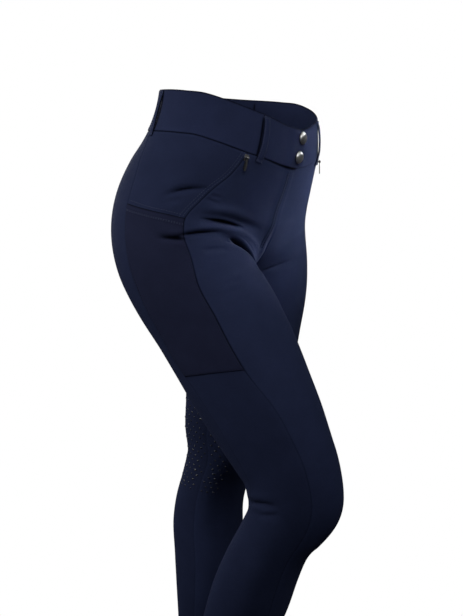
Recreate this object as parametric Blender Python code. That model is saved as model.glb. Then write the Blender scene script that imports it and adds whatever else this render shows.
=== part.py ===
"""Riding breeches, held open in the shape they have when worn: the right leg steps forward, the left is straight.

The wearer's right is -X, the front faces -Y and +Z is up. The origin is the centre of the waistband's
top opening. Sizes below are in millimetres, and the last step of every piece turns them into metres.

The cloth's inner face is one surface for each half of the garment, read at (u, v): u runs from the
centre front (or the inseam) at 0 round the outside of the hip to the centre back (or the inseam) at 1,
and v is the way down from the waistband's top edge. Every panel is a wall raised outward from that face.
"""
import math

import bmesh
import bpy
import numpy as np
from mathutils import Matrix, Vector

METRES = 0.001
RIGHT, LEFT = -1, 1
SIDE_NAMES = {RIGHT: "right", LEFT: "left"}

# Cloth and seams
PANEL_WALL = 1.4
BAND_WALL = 2.4
POCKET_WALL = 1.1
GAP = 0.3

# Levels down the garment
BAND_HEIGHT = 55.0
HIP_LEVEL = 115.0
EDGE_LEVEL = 140.0
CROTCH_LEVEL = 243.0
HEM_LEVEL = 862.0

# The body the cloth is cut for
HIP_JOINT = (88.0, 25.0, -150.0)
HIP_TILT = 8.0
THIGH_LENGTH = 384.0
SHIN_END = 710.0
KNEE_ROUNDING = 46.0
KNEE_X, ANKLE_X = 80.0, 77.0
FULL_BEND = 50.0
KNEECAP, KNEECAP_AT, KNEECAP_LENGTH = 20.6, 398.0, 39.0
CROTCH_POINT = (0.0, 14.0, -243.0)
HIP_FULLNESS, LEG_FULLNESS = 0.055, 0.03
SEAT_ANGLE, SEAT_SPREAD = math.radians(146), 0.42
SEAT_DIP, SEAT_DIP_SPREAD = 0.55, 0.22

# How the hip ring turns into the two leg rings: shares of the ring near the centre line, and drops
CROTCH_REACH_U, CROTCH_REACH_POWER = 0.2, 1.6
CROTCH_ROUNDING = 40.0
INSEAM_FADE = (CROTCH_LEVEL - 10.0, CROTCH_LEVEL + 130.0)
CENTRE_POWER = 1.5
CENTRE_SPREAD_U = 0.11
FLANK_FADE = (HIP_LEVEL, CROTCH_LEVEL + 50.0)

# Degrees forward of straight down, and the way from the hip joint to the bend of the knee
POSE = {
    RIGHT: {"thigh": 24.9, "shin": -25.5, "knee": 384.0},
    LEFT: {"thigh": -7.0, "shin": -6.2, "knee": 356.0},
}

# Half sizes of the level ring round the hips; seat is the extra fullness over each buttock
TORSO_COLUMNS = ("z", "middle_y", "side", "front", "back", "seat")
TORSO = (
    (60, 0, 130, 101, 82, 0),
    (30, 1, 130, 99, 82, 0),
    (0, 4, 132, 99, 85, 0),
    (-22, 7, 136, 101, 89.5, 1),
    (-44, 12, 143, 105, 94, 3),
    (-66, 18, 151, 108, 99.5, 6),
    (-89, 24, 157, 107, 102.5, 9),
    (-111, 30, 164, 105, 101.5, 11),
    (-133, 34, 170, 101, 102, 12),
    (-155, 37, 174, 98, 102, 13),
    (-178, 38, 178, 96, 102, 13),
    (-200, 38, 180, 96, 101, 12),
    (-230, 36, 179, 93, 97, 9),
    (-270, 34, 176, 92, 92, 5),
    (-320, 32, 172, 88, 88, 0),
)

# Half sizes of the ring square to the leg, by the way down from the hip joint; a raised thigh's front sinks
LEG_COLUMNS = ("along", "inner", "outer", "front", "back", "sink", "sway")
LEG = (
    (-60, 80, 92, 92, 126, 0, 0),
    (0, 80, 93, 92, 122, 0, 0),
    (45, 80, 94, 91, 113, 7.5, 0),
    (93, 80, 92, 89, 103, 15.5, 0),
    (130, 79, 88, 87, 96.5, 17, -0.5),
    (180, 75, 83, 82, 88, 9, -3),
    (240, 68, 75, 75.5, 79, 1.7, -8),
    (300, 60, 66, 73, 67, 0, -3),
    (345, 54, 57, 67, 58, 0, 2.5),
    (384, 51, 52, 53.5, 56, 0, -3),
    (420, 50, 50, 41, 52, 0, 5),
    (450, 50, 51, 39, 53, 0, 10),
    (490, 50, 53, 41, 56, 0, 9.5),
    (540, 49, 52, 46, 56, 0, 2),
    (590, 45, 47, 45, 50, 0, 0),
    (650, 38, 40, 41, 41, 0, 0),
    (710, 34, 35, 36, 36, 0, 0),
    (770, 34, 35, 36, 36, 0, 0),
)

# Height of the waistband's top edge: low in front, high at the back
WAIST_COLUMNS = ("u", "rise")
WAIST = (
    (0.0, -27.5),
    (0.06, -24.0),
    (0.17, -11.5),
    (0.25, -2.0),
    (0.33, 8.0),
    (0.42, 17.0),
    (0.5, 20.2),
    (0.72, 24.5),
    (1.0, 26.5),
)
RISE_FADE = (60.0, 225.0)

# The two long seams: the front one starts as the slanted zip pocket
SEAM_COLUMNS = ("v", "front_u", "rear_u")
SEAMS = (
    (55, 0.218, 0.688),
    (70, 0.231, 0.666),
    (88, 0.250, 0.648),
    (110, 0.286, 0.633),
    (130, 0.316, 0.622),
    (152, 0.354, 0.606),
    (170, 0.366, 0.592),
    (200, 0.378, 0.582),
    (253, 0.420, 0.590),
    (311, 0.427, 0.598),
    (365, 0.420, 0.582),
    (426, 0.392, 0.572),
    (502, 0.379, 0.586),
    (553, 0.362, 0.615),
    (700, 0.340, 0.640),
    (862, 0.330, 0.645),
)

# Rows of the panels: v where each row crosses the centre front, the two seams and the centre back
ROW_COLUMNS = ("name", "front", "front_seam", "rear_seam", "back", "steps")
ROWS = (
    ("waist seam", 51.5, 55, 55, 55, 0),
    ("pocket opening", 150, 152, 137, 150, 9),
    ("crotch", 243, 243, 243, 243, 12),
    ("pocket bottom", 352, 365, 340, 352, 5),
    ("above knee", 490, 490, 490, 490, 4),
    ("below knee", 580, 580, 580, 580, 8),
    ("hem", 862, 862, 862, 862, 6),
)
FRONT_STEPS, SIDE_STEPS, BACK_STEPS = 11, 7, 10
CENTRE_CROWDING = 1.25

# Folds of the cloth: a bow from start past middle to end, its half width and its height (a trough is negative)
FOLD_COLUMNS = ("side", "name", "u0", "v0", "u1", "v1", "u2", "v2", "width", "height")
FOLDS = (
    (RIGHT, "hip crease", 0.465, 131, 0.390, 112, 0.300, 111, 7, -3.2),
    (RIGHT, "hip crease ridge", 0.450, 119, 0.380, 102, 0.300, 101, 8, 1.6),
    (RIGHT, "short hip crease", 0.310, 124, 0.275, 118, 0.245, 121, 6, -1.6),
    (RIGHT, "upper lap ridge", 0.320, 136, 0.230, 133, 0.110, 140, 8, 2.6),
    (RIGHT, "upper lap crease", 0.310, 148, 0.200, 146, 0.080, 153, 8, -5.5),
    (RIGHT, "lap ridge", 0.365, 165, 0.180, 150, 0.050, 192, 8, 4.2),
    (RIGHT, "outer lap crease", 0.375, 175, 0.315, 172, 0.240, 171, 6, -3.2),
    (RIGHT, "groin crease", 0.260, 184, 0.180, 180, 0.110, 214, 8, -6.0),
    (RIGHT, "thigh crease", 0.350, 204, 0.300, 198, 0.250, 194, 7, -1.4),
    (RIGHT, "low thigh crease", 0.410, 268, 0.360, 260, 0.300, 256, 9, -1.3),
    (RIGHT, "pocket crease", 0.470, 169, 0.420, 175, 0.375, 181, 6, -2.2),
    (RIGHT, "seat crease", 0.700, 262, 0.800, 268, 0.900, 252, 9, -2.6),
    (RIGHT, "hollow crease", 0.660, 546, 0.570, 536, 0.470, 540, 7, -3.6),
    (RIGHT, "hollow ridge", 0.640, 533, 0.560, 524, 0.480, 528, 7, 1.8),
    (RIGHT, "inner hollow crease", 0.740, 540, 0.860, 530, 0.960, 540, 7, -3.0),
    (RIGHT, "low hollow crease", 0.610, 560, 0.540, 554, 0.460, 549, 6, -2.0),
    (LEFT, "groin crease", 0.240, 196, 0.160, 204, 0.060, 222, 9, -3.4),
    (LEFT, "upper lap crease", 0.260, 166, 0.180, 168, 0.090, 176, 8, -2.0),
    (LEFT, "inner thigh crease", 0.030, 262, 0.080, 268, 0.150, 262, 9, -2.0),
    (LEFT, "seat crease", 0.620, 252, 0.760, 262, 0.920, 240, 10, -4.6),
    (LEFT, "seat ridge", 0.640, 236, 0.760, 244, 0.900, 226, 9, 1.8),
    (LEFT, "low seat crease", 0.700, 282, 0.790, 286, 0.880, 272, 8, -2.2),
    (LEFT, "hollow crease", 0.620, 506, 0.740, 512, 0.860, 500, 8, -2.4),
)
FOLD_STATIONS, FOLD_TAPER = 25, 0.8
HALF_GIRTH_HIP, HALF_GIRTH_KNEE = 480.0, 330.0
GIRTH_FADE = (300.0, 480.0)

# Fly: the right front laps over the left, as the waistband's end does
FLY_LAP = 4.0
FLY_LAP_FADE = (110.0, 186.0)
FLY_LIFT_U = (0.020, 0.052)
FLY_LIFT_FADE = (188.0, 208.0)
BAND_LAP_OVER, BAND_LAP_UNDER = 12.0, 12.0
BAND_TAPER, BAND_TAPER_END_U = 3.5, 0.218
BAND_LIFT_U = (0.032, 0.075)
BAND_JOIN_U = 0.172
BAND_STEP_U = 0.045
BAND_ROWS = 4
BAND_FRONT_COLUMNS = 12
FRONT_HALF_GIRTH = 440.0

# Belt loops: v down the middle of the strap, and how far each pair stands off the cloth there
LOOP_COLUMNS = ("v", "front", "back")
LOOP_PROFILE = (
    (2.0, 0.0, 0.0),
    (5.5, 0.0, 0.0),
    (9.0, 1.1, 0.9),
    (14.0, 1.9, 1.7),
    (22.0, 2.3, 2.3),
    (31.0, 2.4, 2.5),
    (40.0, 2.2, 2.1),
    (47.0, 1.5, 1.2),
    (51.5, 0.6, 0.4),
    (55.4, 0.1, 0.1),
    (58.0, -0.9, -0.9),
    (61.5, -0.9, -0.9),
)
LOOP_WIDTH = 11.0
LOOP_WALL = 1.6
LOOP_U = {"front": BAND_JOIN_U, "back": 0.661}

# Press studs: cap profile as (radius, height), and (name, u, v) of each beside the centre front
STUD_PROFILE = ((8.1, 0.0), (8.5, 0.9), (8.1, 2.1), (6.6, 3.9), (3.8, 5.0), (0.0, 5.4))
STUD_TURNS = 20
STUDS = (("top", -0.007, 11.3), ("low", 0.004, 36.2))

# Pocket zips: the slider sits at the top of the slanted seam, and its pull hangs from the crossbar
ZIP_U, ZIP_LEVEL = 0.220, 61.5
ZIP_TURN = 17.0
SLIDER_ACROSS = (-3.3, -2.4, 2.4, 3.3)
SLIDER_ALONG = (-4.5, -0.5, 0.5, 4.5)
SLIDER_OUT = (0.0, 2.0, 3.5, 4.5)
SLIDER_NOSE = 0.72
SLIDER_BEVEL = 0.25
BAR_HEIGHT = 4.0
EYE_RADIUS, EYE_HOLE, EYE_SIDES = 1.6, 0.95, 10
PULL_COLUMNS = ("down", "half_width", "half_thickness")
PULL_SECTIONS = (
    (3.0, 1.5, 0.5),
    (5.0, 1.5, 0.5),
    (7.5, 2.3, 0.6),
    (15.5, 2.3, 0.6),
    (17.3, 1.6, 0.6),
)
EYE_HALF_WIDTH = 2.0

# name: (colour, roughness, metallic)
MATERIALS = {
    "front cloth": ((0.018, 0.023, 0.053, 1), 0.62, 0.0),
    "side cloth": ((0.014, 0.017, 0.040, 1), 0.66, 0.0),
    "back cloth": ((0.013, 0.016, 0.038, 1), 0.66, 0.0),
    "pocket cloth": ((0.009, 0.011, 0.022, 1), 0.72, 0.0),
    "waistband cloth": ((0.019, 0.025, 0.058, 1), 0.58, 0.0),
    "loop cloth": ((0.011, 0.014, 0.032, 1), 0.60, 0.0),
    "stud metal": ((0.42, 0.41, 0.40, 1), 0.28, 1.0),
    "zip metal": ((0.60, 0.60, 0.61, 1), 0.25, 1.0),
}


# ---------------------------------------------------------------- tables and small curves

def column(table, columns, name, key, at):
    """A named column of a table, read smoothly at the given values of its key column."""
    rows = sorted(table, key=lambda row: row[columns.index(key)])
    x = np.array([row[columns.index(key)] for row in rows], float)
    y = np.array([row[columns.index(name)] for row in rows], float)
    step = np.diff(x)
    slope = np.diff(y) / step
    tangent = np.empty_like(y)
    tangent[0], tangent[-1] = slope[0], slope[-1]
    tangent[1:-1] = (slope[:-1] * step[1:] + slope[1:] * step[:-1]) / (step[:-1] + step[1:])
    at = np.asarray(at, float)
    i = np.clip(np.searchsorted(x, at) - 1, 0, len(step) - 1)
    t = np.clip((at - x[i]) / step[i], 0, 1)
    ends = (2 * t**3 - 3 * t**2 + 1) * y[i] + (3 * t**2 - 2 * t**3) * y[i + 1]
    leans = (t**3 - 2 * t**2 + t) * tangent[i] + (t**3 - t**2) * tangent[i + 1]
    return ends + leans * step[i]


def ease(low, high, x):
    """0 below low, 1 above high, and smooth between them."""
    t = np.clip((np.asarray(x, float) - low) / (high - low), 0, 1)
    return t * t * (3 - 2 * t)


def hump(x, middle, width):
    return np.exp(-(((x - middle) / width) ** 2))


def unit(vectors):
    return vectors / np.maximum(np.linalg.norm(vectors, axis=-1, keepdims=True), 1e-9)


# ---------------------------------------------------------------- the cloth's inner face

def torso_ring(side, u, v):
    """The ring round the hips at drop v, which tips forward towards the waist."""
    angle = math.pi * u
    rise = column(WAIST, WAIST_COLUMNS, "rise", "u", np.abs(u))
    z = rise * (1 - ease(*RISE_FADE, v)) - v

    def read(name):
        return column(TORSO, TORSO_COLUMNS, name, "z", z)

    cheek, dip = hump(angle, SEAT_ANGLE, SEAT_SPREAD), SEAT_DIP * hump(angle, math.pi, SEAT_DIP_SPREAD)
    seat = read("seat") * (cheek - dip)
    full = 1 + HIP_FULLNESS * np.sin(2 * angle) ** 2
    depth = np.where(np.cos(angle) > 0, read("front"), read("back"))
    x = (read("side") * full + seat) * np.sin(angle)
    y = read("middle_y") - (depth * full + seat) * np.cos(angle)
    return np.stack([side * x, y, z], -1)


def leg_axis(side, along):
    """The middle of the leg and its forward direction: a straight thigh, an arc at the knee, a straight shin."""
    thigh, shin = math.radians(POSE[side]["thigh"]), math.radians(POSE[side]["shin"])
    knee = POSE[side]["knee"]
    start, end = knee - KNEE_ROUNDING, knee + KNEE_ROUNDING
    rate = (shin - thigh) / (end - start)
    upper = np.minimum(along, start)
    arc = np.clip(along, start, end) - start
    lower = np.maximum(along - end, 0)
    lean = thigh + rate * arc
    x = side * np.interp(along, (0, knee, SHIN_END), (HIP_JOINT[0], KNEE_X, ANKLE_X))
    y = HIP_JOINT[1] - math.sin(thigh) * upper + (np.cos(lean) - math.cos(thigh)) / rate - math.sin(shin) * lower
    z = HIP_JOINT[2] - math.cos(thigh) * upper - (np.sin(lean) - math.sin(thigh)) / rate - math.cos(shin) * lower
    forward = np.stack([0 * lean, -np.cos(lean), np.sin(lean)], -1)
    return np.stack([x, y, z + side * HIP_TILT], -1), forward


def leg_ring(side, u, v):
    """The ring square to the leg; u is 0 at the inseam, 0.25 in front, 0.5 outside and 0.75 behind.

    A bent knee stands forward of the shin, a raised thigh sinks in front below its hip, and the calf of a
    straight leg sways back.
    """
    along = v + HIP_JOINT[2]
    knee = POSE[side]["knee"]
    station = np.where(along < knee, along * THIGH_LENGTH / knee, along - knee + THIGH_LENGTH)
    middle, forward = leg_axis(side, along)

    def read(name):
        return column(LEG, LEG_COLUMNS, name, "along", station)

    angle = 2 * math.pi * u
    inward, ahead = np.cos(angle), np.sin(angle)
    bend = math.sin(math.radians(POSE[side]["thigh"] - POSE[side]["shin"])) / math.sin(math.radians(FULL_BEND))
    kneecap = KNEECAP * bend * hump(station, KNEECAP_AT, KNEECAP_LENGTH) * ahead**2
    full = 1 + LEG_FULLNESS * np.sin(2 * angle) ** 2
    out = -inward * full * np.where(inward > 0, read("inner"), read("outer"))
    fore = ahead * full * np.where(ahead > 0, read("front") - bend * read("sink") + kneecap, read("back"))
    ring = middle + forward * (fore - (1 - bend) * read("sway"))[..., None]
    ring[..., 0] += side * out
    return ring


def inner_face(side, u, v):
    """The cloth's inner face before its folds: the hip ring turns into the leg ring towards the crotch."""
    hips, leg = torso_ring(side, u, v), leg_ring(side, u, v)
    # the leg's inner line is drawn to the one crotch point that both legs share
    level = np.minimum(v, CROTCH_LEVEL)
    target = np.array(CROTCH_POINT) + np.stack([0 * level, 0 * level, CROTCH_LEVEL - level], -1)
    shift = target - leg_ring(side, 0 * u, level)
    inner = np.minimum(np.abs(u), np.abs(1 - u))
    near = np.clip(1 - inner / CROTCH_REACH_U, 0, 1) ** CROTCH_REACH_POWER
    below = np.clip((v - CROTCH_LEVEL) / CROTCH_ROUNDING, 0, 1)
    across = near * (1 - np.sqrt(1 - (1 - below) ** 2))
    along = near * (1 - ease(*INSEAM_FADE, v))
    leg += shift * np.stack([across, along, along], -1)
    # at the centre the change is a quarter round that ends level at the crotch, and elsewhere it is gradual
    k = np.clip((v - EDGE_LEVEL) / (CROTCH_LEVEL - EDGE_LEVEL), 0, 1)
    centre = 1 - (1 - k**CENTRE_POWER) ** (1 / CENTRE_POWER)
    flank = ease(*FLANK_FADE, v)
    at_centre = hump(inner, 0, CENTRE_SPREAD_U)
    share = (at_centre * centre + (1 - at_centre) * flank)[..., None]
    return hips * (1 - share) + leg * share


def outward(side, u, v):
    """Unit normals of the inner face, pointing out of the garment."""
    du, dv = 0.002, 0.5
    round_leg = v > CROTCH_LEVEL
    low = np.where(round_leg, (u - du) % 1, np.clip(u - du, 0, 1))
    high = np.where(round_leg, (u + du) % 1, np.clip(u + du, 0, 1))
    normal = np.cross(
        inner_face(side, high, v) - inner_face(side, low, v),
        inner_face(side, u, v + dv) - inner_face(side, u, v - dv),
    ) * -side
    on_centre = ((u < 1e-6) | (u > 1 - 1e-6)) & ~round_leg
    normal[..., 0] = np.where(on_centre, 0, normal[..., 0])
    at_crotch = on_centre & (np.abs(v - CROTCH_LEVEL) < 1e-6)
    normal[at_crotch] = (0, 0, -1)
    return unit(normal)


def folds(side, u, v):
    """Height of the folds over the inner face."""
    girth = HALF_GIRTH_HIP + (HALF_GIRTH_KNEE - HALF_GIRTH_HIP) * ease(*GIRTH_FADE, v)
    t = np.linspace(0, 1, FOLD_STATIONS)
    fade = np.sin(math.pi * t) ** FOLD_TAPER
    height = np.zeros(np.shape(u))
    for fold_side, _, u0, v0, u1, v1, u2, v2, width, size in FOLDS:
        if fold_side != side:
            continue
        line_u = (1 - t) ** 2 * u0 + 2 * t * (1 - t) * u1 + t**2 * u2
        line_v = (1 - t) ** 2 * v0 + 2 * t * (1 - t) * v1 + t**2 * v2
        away = ((u[..., None] - line_u) * girth[..., None]) ** 2 + (v[..., None] - line_v) ** 2
        height += size * np.max(fade * np.exp(-away / width**2), axis=-1)
    return height


def cloth(side, u, v):
    """Points of the folded inner face and their outward directions; u below 0 is past the centre front."""
    u, v = np.broadcast_arrays(np.asarray(u, float), np.asarray(v, float))
    past = (u < 0)[..., None]
    near_u, far_u = np.maximum(u, 0), np.maximum(-u, 0)
    normal = np.where(past, outward(-side, far_u, v), outward(side, near_u, v))
    point = np.where(past, inner_face(-side, far_u, v), inner_face(side, near_u, v))
    height = np.where(u < 0, folds(-side, far_u, v), folds(side, near_u, v))
    return point + normal * height[..., None], normal


# ---------------------------------------------------------------- objects

def material(name):
    made = bpy.data.materials.get(name)
    if made is None:
        colour, roughness, metallic = MATERIALS[name]
        made = bpy.data.materials.new(name)
        made.use_nodes = True
        shader = made.node_tree.nodes["Principled BSDF"]
        shader.inputs["Base Color"].default_value = colour
        shader.inputs["Roughness"].default_value = roughness
        shader.inputs["Metallic"].default_value = metallic
    return made


def add_object(name, points, faces, material_name, place=None):
    """A closed mesh object from points in millimetres, with its faces turned outward."""
    mesh = bpy.data.meshes.new(name)
    mesh.from_pydata([Vector(point) * METRES for point in points], [], faces)
    shape = bmesh.new()
    shape.from_mesh(mesh)
    bmesh.ops.recalc_face_normals(shape, faces=shape.faces)
    shape.to_mesh(mesh)
    shape.free()
    mesh.shade_smooth()
    mesh.set_sharp_from_angle(angle=math.radians(40))
    mesh.materials.append(material(material_name))
    made = bpy.data.objects.new(name, mesh)
    if place is not None:
        made.matrix_world = place
    bpy.context.scene.collection.objects.link(made)
    return made


def draw_in(points, amount):
    """Pulls a grid's border points in along its rows and columns, which leaves the gap at the seams."""
    moved = points.copy()
    moved[:, 0] += unit(points[:, 1] - points[:, 0]) * amount
    moved[:, -1] += unit(points[:, -2] - points[:, -1]) * amount
    moved[0] += unit(points[1] - points[0]) * amount
    moved[-1] += unit(points[-2] - points[-1]) * amount
    return moved


def add_wall(name, points, normals, lift, wall, material_name):
    """A cloth wall over a grid of points: its inner face stands at lift, its outer face a wall further out."""
    points = draw_in(points, GAP / 2)
    lift = np.broadcast_to(np.asarray(lift, float), points.shape[:2])[..., None]
    inner = points + normals * lift
    outer = points + normals * (lift + wall)
    rows, columns = points.shape[:2]
    count = rows * columns
    faces = []
    for i in range(rows - 1):
        for j in range(columns - 1):
            a, b, c, d = i * columns + j, i * columns + j + 1, (i + 1) * columns + j + 1, (i + 1) * columns + j
            faces.append((a, b, c, d))
            faces.append((a + count, d + count, c + count, b + count))
    # the borders are cut from the inner face's start to the outer face's end, alike on both sides of a seam
    border = [(i * columns + j, (i + 1) * columns + j) for i in range(rows - 1) for j in (0, columns - 1)]
    border += [(i * columns + j, i * columns + j + 1) for j in range(columns - 1) for i in (0, rows - 1)]
    for a, b in border:
        faces.append((a, a + count, b + count))
        faces.append((a, b + count, b))
    grid = np.concatenate([inner.reshape(-1, 3), outer.reshape(-1, 3)])
    return add_object(name, grid, faces, material_name)


# ---------------------------------------------------------------- leg panels

def panel_rows():
    """v of every panel row at the four verticals, as a dictionary of arrays, and the row of each anchor."""
    verticals = ("front", "front_seam", "rear_seam", "back")
    levels = {name: [float(ROWS[0][ROW_COLUMNS.index(name)])] for name in verticals}
    anchors = {ROWS[0][0]: 0}
    for before, after in zip(ROWS, ROWS[1:]):
        steps = after[ROW_COLUMNS.index("steps")]
        for name in verticals:
            at = ROW_COLUMNS.index(name)
            levels[name] += list(np.linspace(before[at], after[at], steps + 1)[1:])
        anchors[after[0]] = len(levels["front"]) - 1
    return {name: np.array(values) for name, values in levels.items()}, anchors


def seam_u(name, v):
    return column(SEAMS, SEAM_COLUMNS, name, "v", v)


def fly_lap(v):
    """How far the right front reaches past the centre, in u."""
    return FLY_LAP / FRONT_HALF_GIRTH * (1 - ease(*FLY_LAP_FADE, v))


def grid_between(start_u, start_v, end_u, end_v, share):
    u = start_u[:, None] + (end_u - start_u)[:, None] * share[None]
    v = start_v[:, None] + (end_v - start_v)[:, None] * np.linspace(0, 1, len(share))[None]
    return u, v


def front_panel(side, rows):
    share = np.linspace(0, 1, FRONT_STEPS + 1) ** CENTRE_CROWDING
    start_u = -fly_lap(rows["front"]) if side == RIGHT else 0 * rows["front"]
    u, v = grid_between(start_u, rows["front"], seam_u("front_u", rows["front_seam"]), rows["front_seam"], share)
    points, normals = cloth(side, u, v)
    lift = 0 * u
    if side == RIGHT:
        lift = (PANEL_WALL + GAP) * (1 - ease(*FLY_LIFT_U, u)) * (1 - ease(*FLY_LIFT_FADE, v))
    points = clear_of_middle(side, points, normals, u, v)
    add_wall(f"front_{SIDE_NAMES[side]}", points, normals, lift, PANEL_WALL, "front cloth")


def back_panel(side, rows):
    share = 1 - (1 - np.linspace(0, 1, BACK_STEPS + 1)) ** CENTRE_CROWDING
    u, v = grid_between(seam_u("rear_u", rows["rear_seam"]), rows["rear_seam"], 1 + 0 * rows["back"], rows["back"], share)
    points, normals = cloth(side, u, v)
    points = clear_of_middle(side, points, normals, u, v)
    add_wall(f"back_{SIDE_NAMES[side]}", points, normals, 0, PANEL_WALL, "back cloth")


def clear_of_middle(side, points, normals, u, v):
    """Moves the leg's points off the plane between the legs, until their outer face is clear of it too."""
    outer = side * (points + normals * PANEL_WALL)[..., 0]
    short = np.maximum(GAP / 2 - np.minimum(outer, side * points[..., 0]), 0)
    points = points.copy()
    points[..., 0] += side * np.where(v >= CROTCH_LEVEL, short, 0)
    return points


def side_panel(side, rows, anchors):
    share = np.linspace(0, 1, SIDE_STEPS + 1)
    u, v = grid_between(
        seam_u("front_u", rows["front_seam"]),
        rows["front_seam"],
        seam_u("rear_u", rows["rear_seam"]),
        rows["rear_seam"],
        share,
    )
    points, normals = cloth(side, u, v)
    add_wall(f"side_{SIDE_NAMES[side]}", points, normals, 0, PANEL_WALL, "side cloth")
    patch = slice(anchors["pocket opening"], anchors["pocket bottom"] + 1)
    lift = PANEL_WALL + GAP
    add_wall(f"thigh_pocket_{SIDE_NAMES[side]}", points[patch], normals[patch], lift, POCKET_WALL, "pocket cloth")


# ---------------------------------------------------------------- waistband and belt loops

def band_bottom(u):
    """The waistband narrows a little towards the centre front."""
    return BAND_HEIGHT - BAND_TAPER * (1 - np.clip(u / BAND_TAPER_END_U, 0, 1))


def band_wall(name, sides, u, lift=0.0):
    """A stretch of waistband through the given (side, u) columns."""
    share = np.linspace(0, 1, BAND_ROWS)
    columns = [cloth(side, np.full(BAND_ROWS, at), share * band_bottom(at)) for side, at in zip(sides, u)]
    points = np.stack([point for point, _ in columns], 1)
    normals = np.stack([normal for _, normal in columns], 1)
    add_wall(name, points, normals, lift, BAND_WALL, "waistband cloth")


def waistband():
    half = np.linspace(BAND_JOIN_U, 1, round((1 - BAND_JOIN_U) / BAND_STEP_U) + 1)
    around = list(half) + list(half[-2::-1])
    sides = [RIGHT] * len(half) + [LEFT] * (len(half) - 1)
    band_wall("waistband_back", sides, around)

    over, under = BAND_LAP_OVER / FRONT_HALF_GIRTH, BAND_LAP_UNDER / FRONT_HALF_GIRTH
    right = np.linspace(-over, BAND_JOIN_U, BAND_FRONT_COLUMNS)
    raised = (BAND_WALL + GAP) * (1 - ease(*BAND_LIFT_U, right))
    band_wall("waistband_front_right", [RIGHT] * len(right), right, raised[None])
    left = np.linspace(-under, BAND_JOIN_U, BAND_FRONT_COLUMNS)
    band_wall("waistband_front_left", [LEFT] * len(left), left)


def belt_loop(side, place):
    """A strap sewn down at its two ends, bowed clear of the waistband between them."""
    u_middle = LOOP_U[place]
    half = LOOP_WIDTH / 2 / FRONT_HALF_GIRTH
    v = np.array([row[0] for row in LOOP_PROFILE])
    height = np.array([row[LOOP_COLUMNS.index(place)] for row in LOOP_PROFILE])
    points, normals = cloth(side, np.array([u_middle - half, u_middle, u_middle + half])[None], v[:, None])
    lift = (BAND_WALL + GAP + height)[:, None]
    add_wall(f"belt_loop_{place}_{SIDE_NAMES[side]}", points, normals, lift, LOOP_WALL, "loop cloth")


# ---------------------------------------------------------------- press studs and zips

def frame_at(side, u, v, lift, turn=0.0):
    """A place on the cloth: across, down and out of it, turned about the last, as a matrix in metres."""
    point, normal = cloth(side, np.array([u]), np.array([v]))
    out = Vector(normal[0])
    level = Vector((0, 0, -1)).cross(out).normalized()
    across = Matrix.Rotation(math.radians(turn), 3, out) @ level
    down = out.cross(across)
    place = Matrix((across, down, out)).transposed().to_4x4()
    place.translation = (Vector(point[0]) + out * lift) * METRES
    return place


def press_stud(name, u, v):
    """A domed cap, turned about the direction out of the waistband's lapped end."""
    turns = [2 * math.pi * i / STUD_TURNS for i in range(STUD_TURNS)]
    points = [(r * math.cos(a), r * math.sin(a), h) for r, h in STUD_PROFILE[:-1] for a in turns]
    top = len(points)
    points += [(0, 0, STUD_PROFILE[-1][1])]
    faces = [tuple(range(STUD_TURNS))]
    rings = len(STUD_PROFILE) - 1
    for ring in range(rings - 1):
        for i in range(STUD_TURNS):
            k = (i + 1) % STUD_TURNS
            a, b = ring * STUD_TURNS, (ring + 1) * STUD_TURNS
            faces.append((a + i, a + k, b + k, b + i))
    last = (rings - 1) * STUD_TURNS
    faces += [(last + i, last + (i + 1) % STUD_TURNS, top) for i in range(STUD_TURNS)]
    lift = 2 * (BAND_WALL + GAP)
    place = frame_at(RIGHT, u, v, lift)
    add_object(f"press_stud_{name}", points, faces, "stud metal", place)


def add_blocks(name, xs, ys, zs, filled, shape, material_name, place):
    """One closed body from the filled cells of a box grid; shape moves each grid point to its place."""
    numbers, faces = {}, []

    def corner(i, j, k):
        return numbers.setdefault((i, j, k), len(numbers))

    sides = {
        (-1, 0, 0): ((0, 0, 0), (0, 0, 1), (0, 1, 1), (0, 1, 0)),
        (1, 0, 0): ((1, 0, 0), (1, 1, 0), (1, 1, 1), (1, 0, 1)),
        (0, -1, 0): ((0, 0, 0), (1, 0, 0), (1, 0, 1), (0, 0, 1)),
        (0, 1, 0): ((0, 1, 0), (0, 1, 1), (1, 1, 1), (1, 1, 0)),
        (0, 0, -1): ((0, 0, 0), (0, 1, 0), (1, 1, 0), (1, 0, 0)),
        (0, 0, 1): ((0, 0, 1), (1, 0, 1), (1, 1, 1), (0, 1, 1)),
    }
    for cell in filled:
        for step, square in sides.items():
            if tuple(a + b for a, b in zip(cell, step)) not in filled:
                faces.append(tuple(corner(*(a + b for a, b in zip(cell, at))) for at in square))
    points = [shape(xs[i], ys[j], zs[k]) for i, j, k in numbers]
    return add_object(name, points, faces, material_name, place)


def slider_place(side):
    return frame_at(side, ZIP_U, ZIP_LEVEL, PANEL_WALL + GAP, side * ZIP_TURN)


def zip_slider(side):
    """The slider's plate, with two lugs that hold a crossbar."""
    plate = {(i, j, 0) for i in range(3) for j in range(3)}
    lugs = {(i, 1, k) for i in (0, 2) for k in (1, 2)}
    bar = {(1, 1, 2)}

    def tapered(x, y, z):
        narrow = 1 - (1 - SLIDER_NOSE) * max(y, 0) / SLIDER_ALONG[-1]
        return (x * narrow, y, z)

    filled = plate | lugs | bar
    name = f"zip_slider_{SIDE_NAMES[side]}"
    place = slider_place(side)
    slider = add_blocks(name, SLIDER_ACROSS, SLIDER_ALONG, SLIDER_OUT, filled, tapered, "zip metal", place)
    bevel = slider.modifiers.new("soft edges", "BEVEL")
    bevel.width = SLIDER_BEVEL * METRES
    bevel.segments = 1


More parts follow.
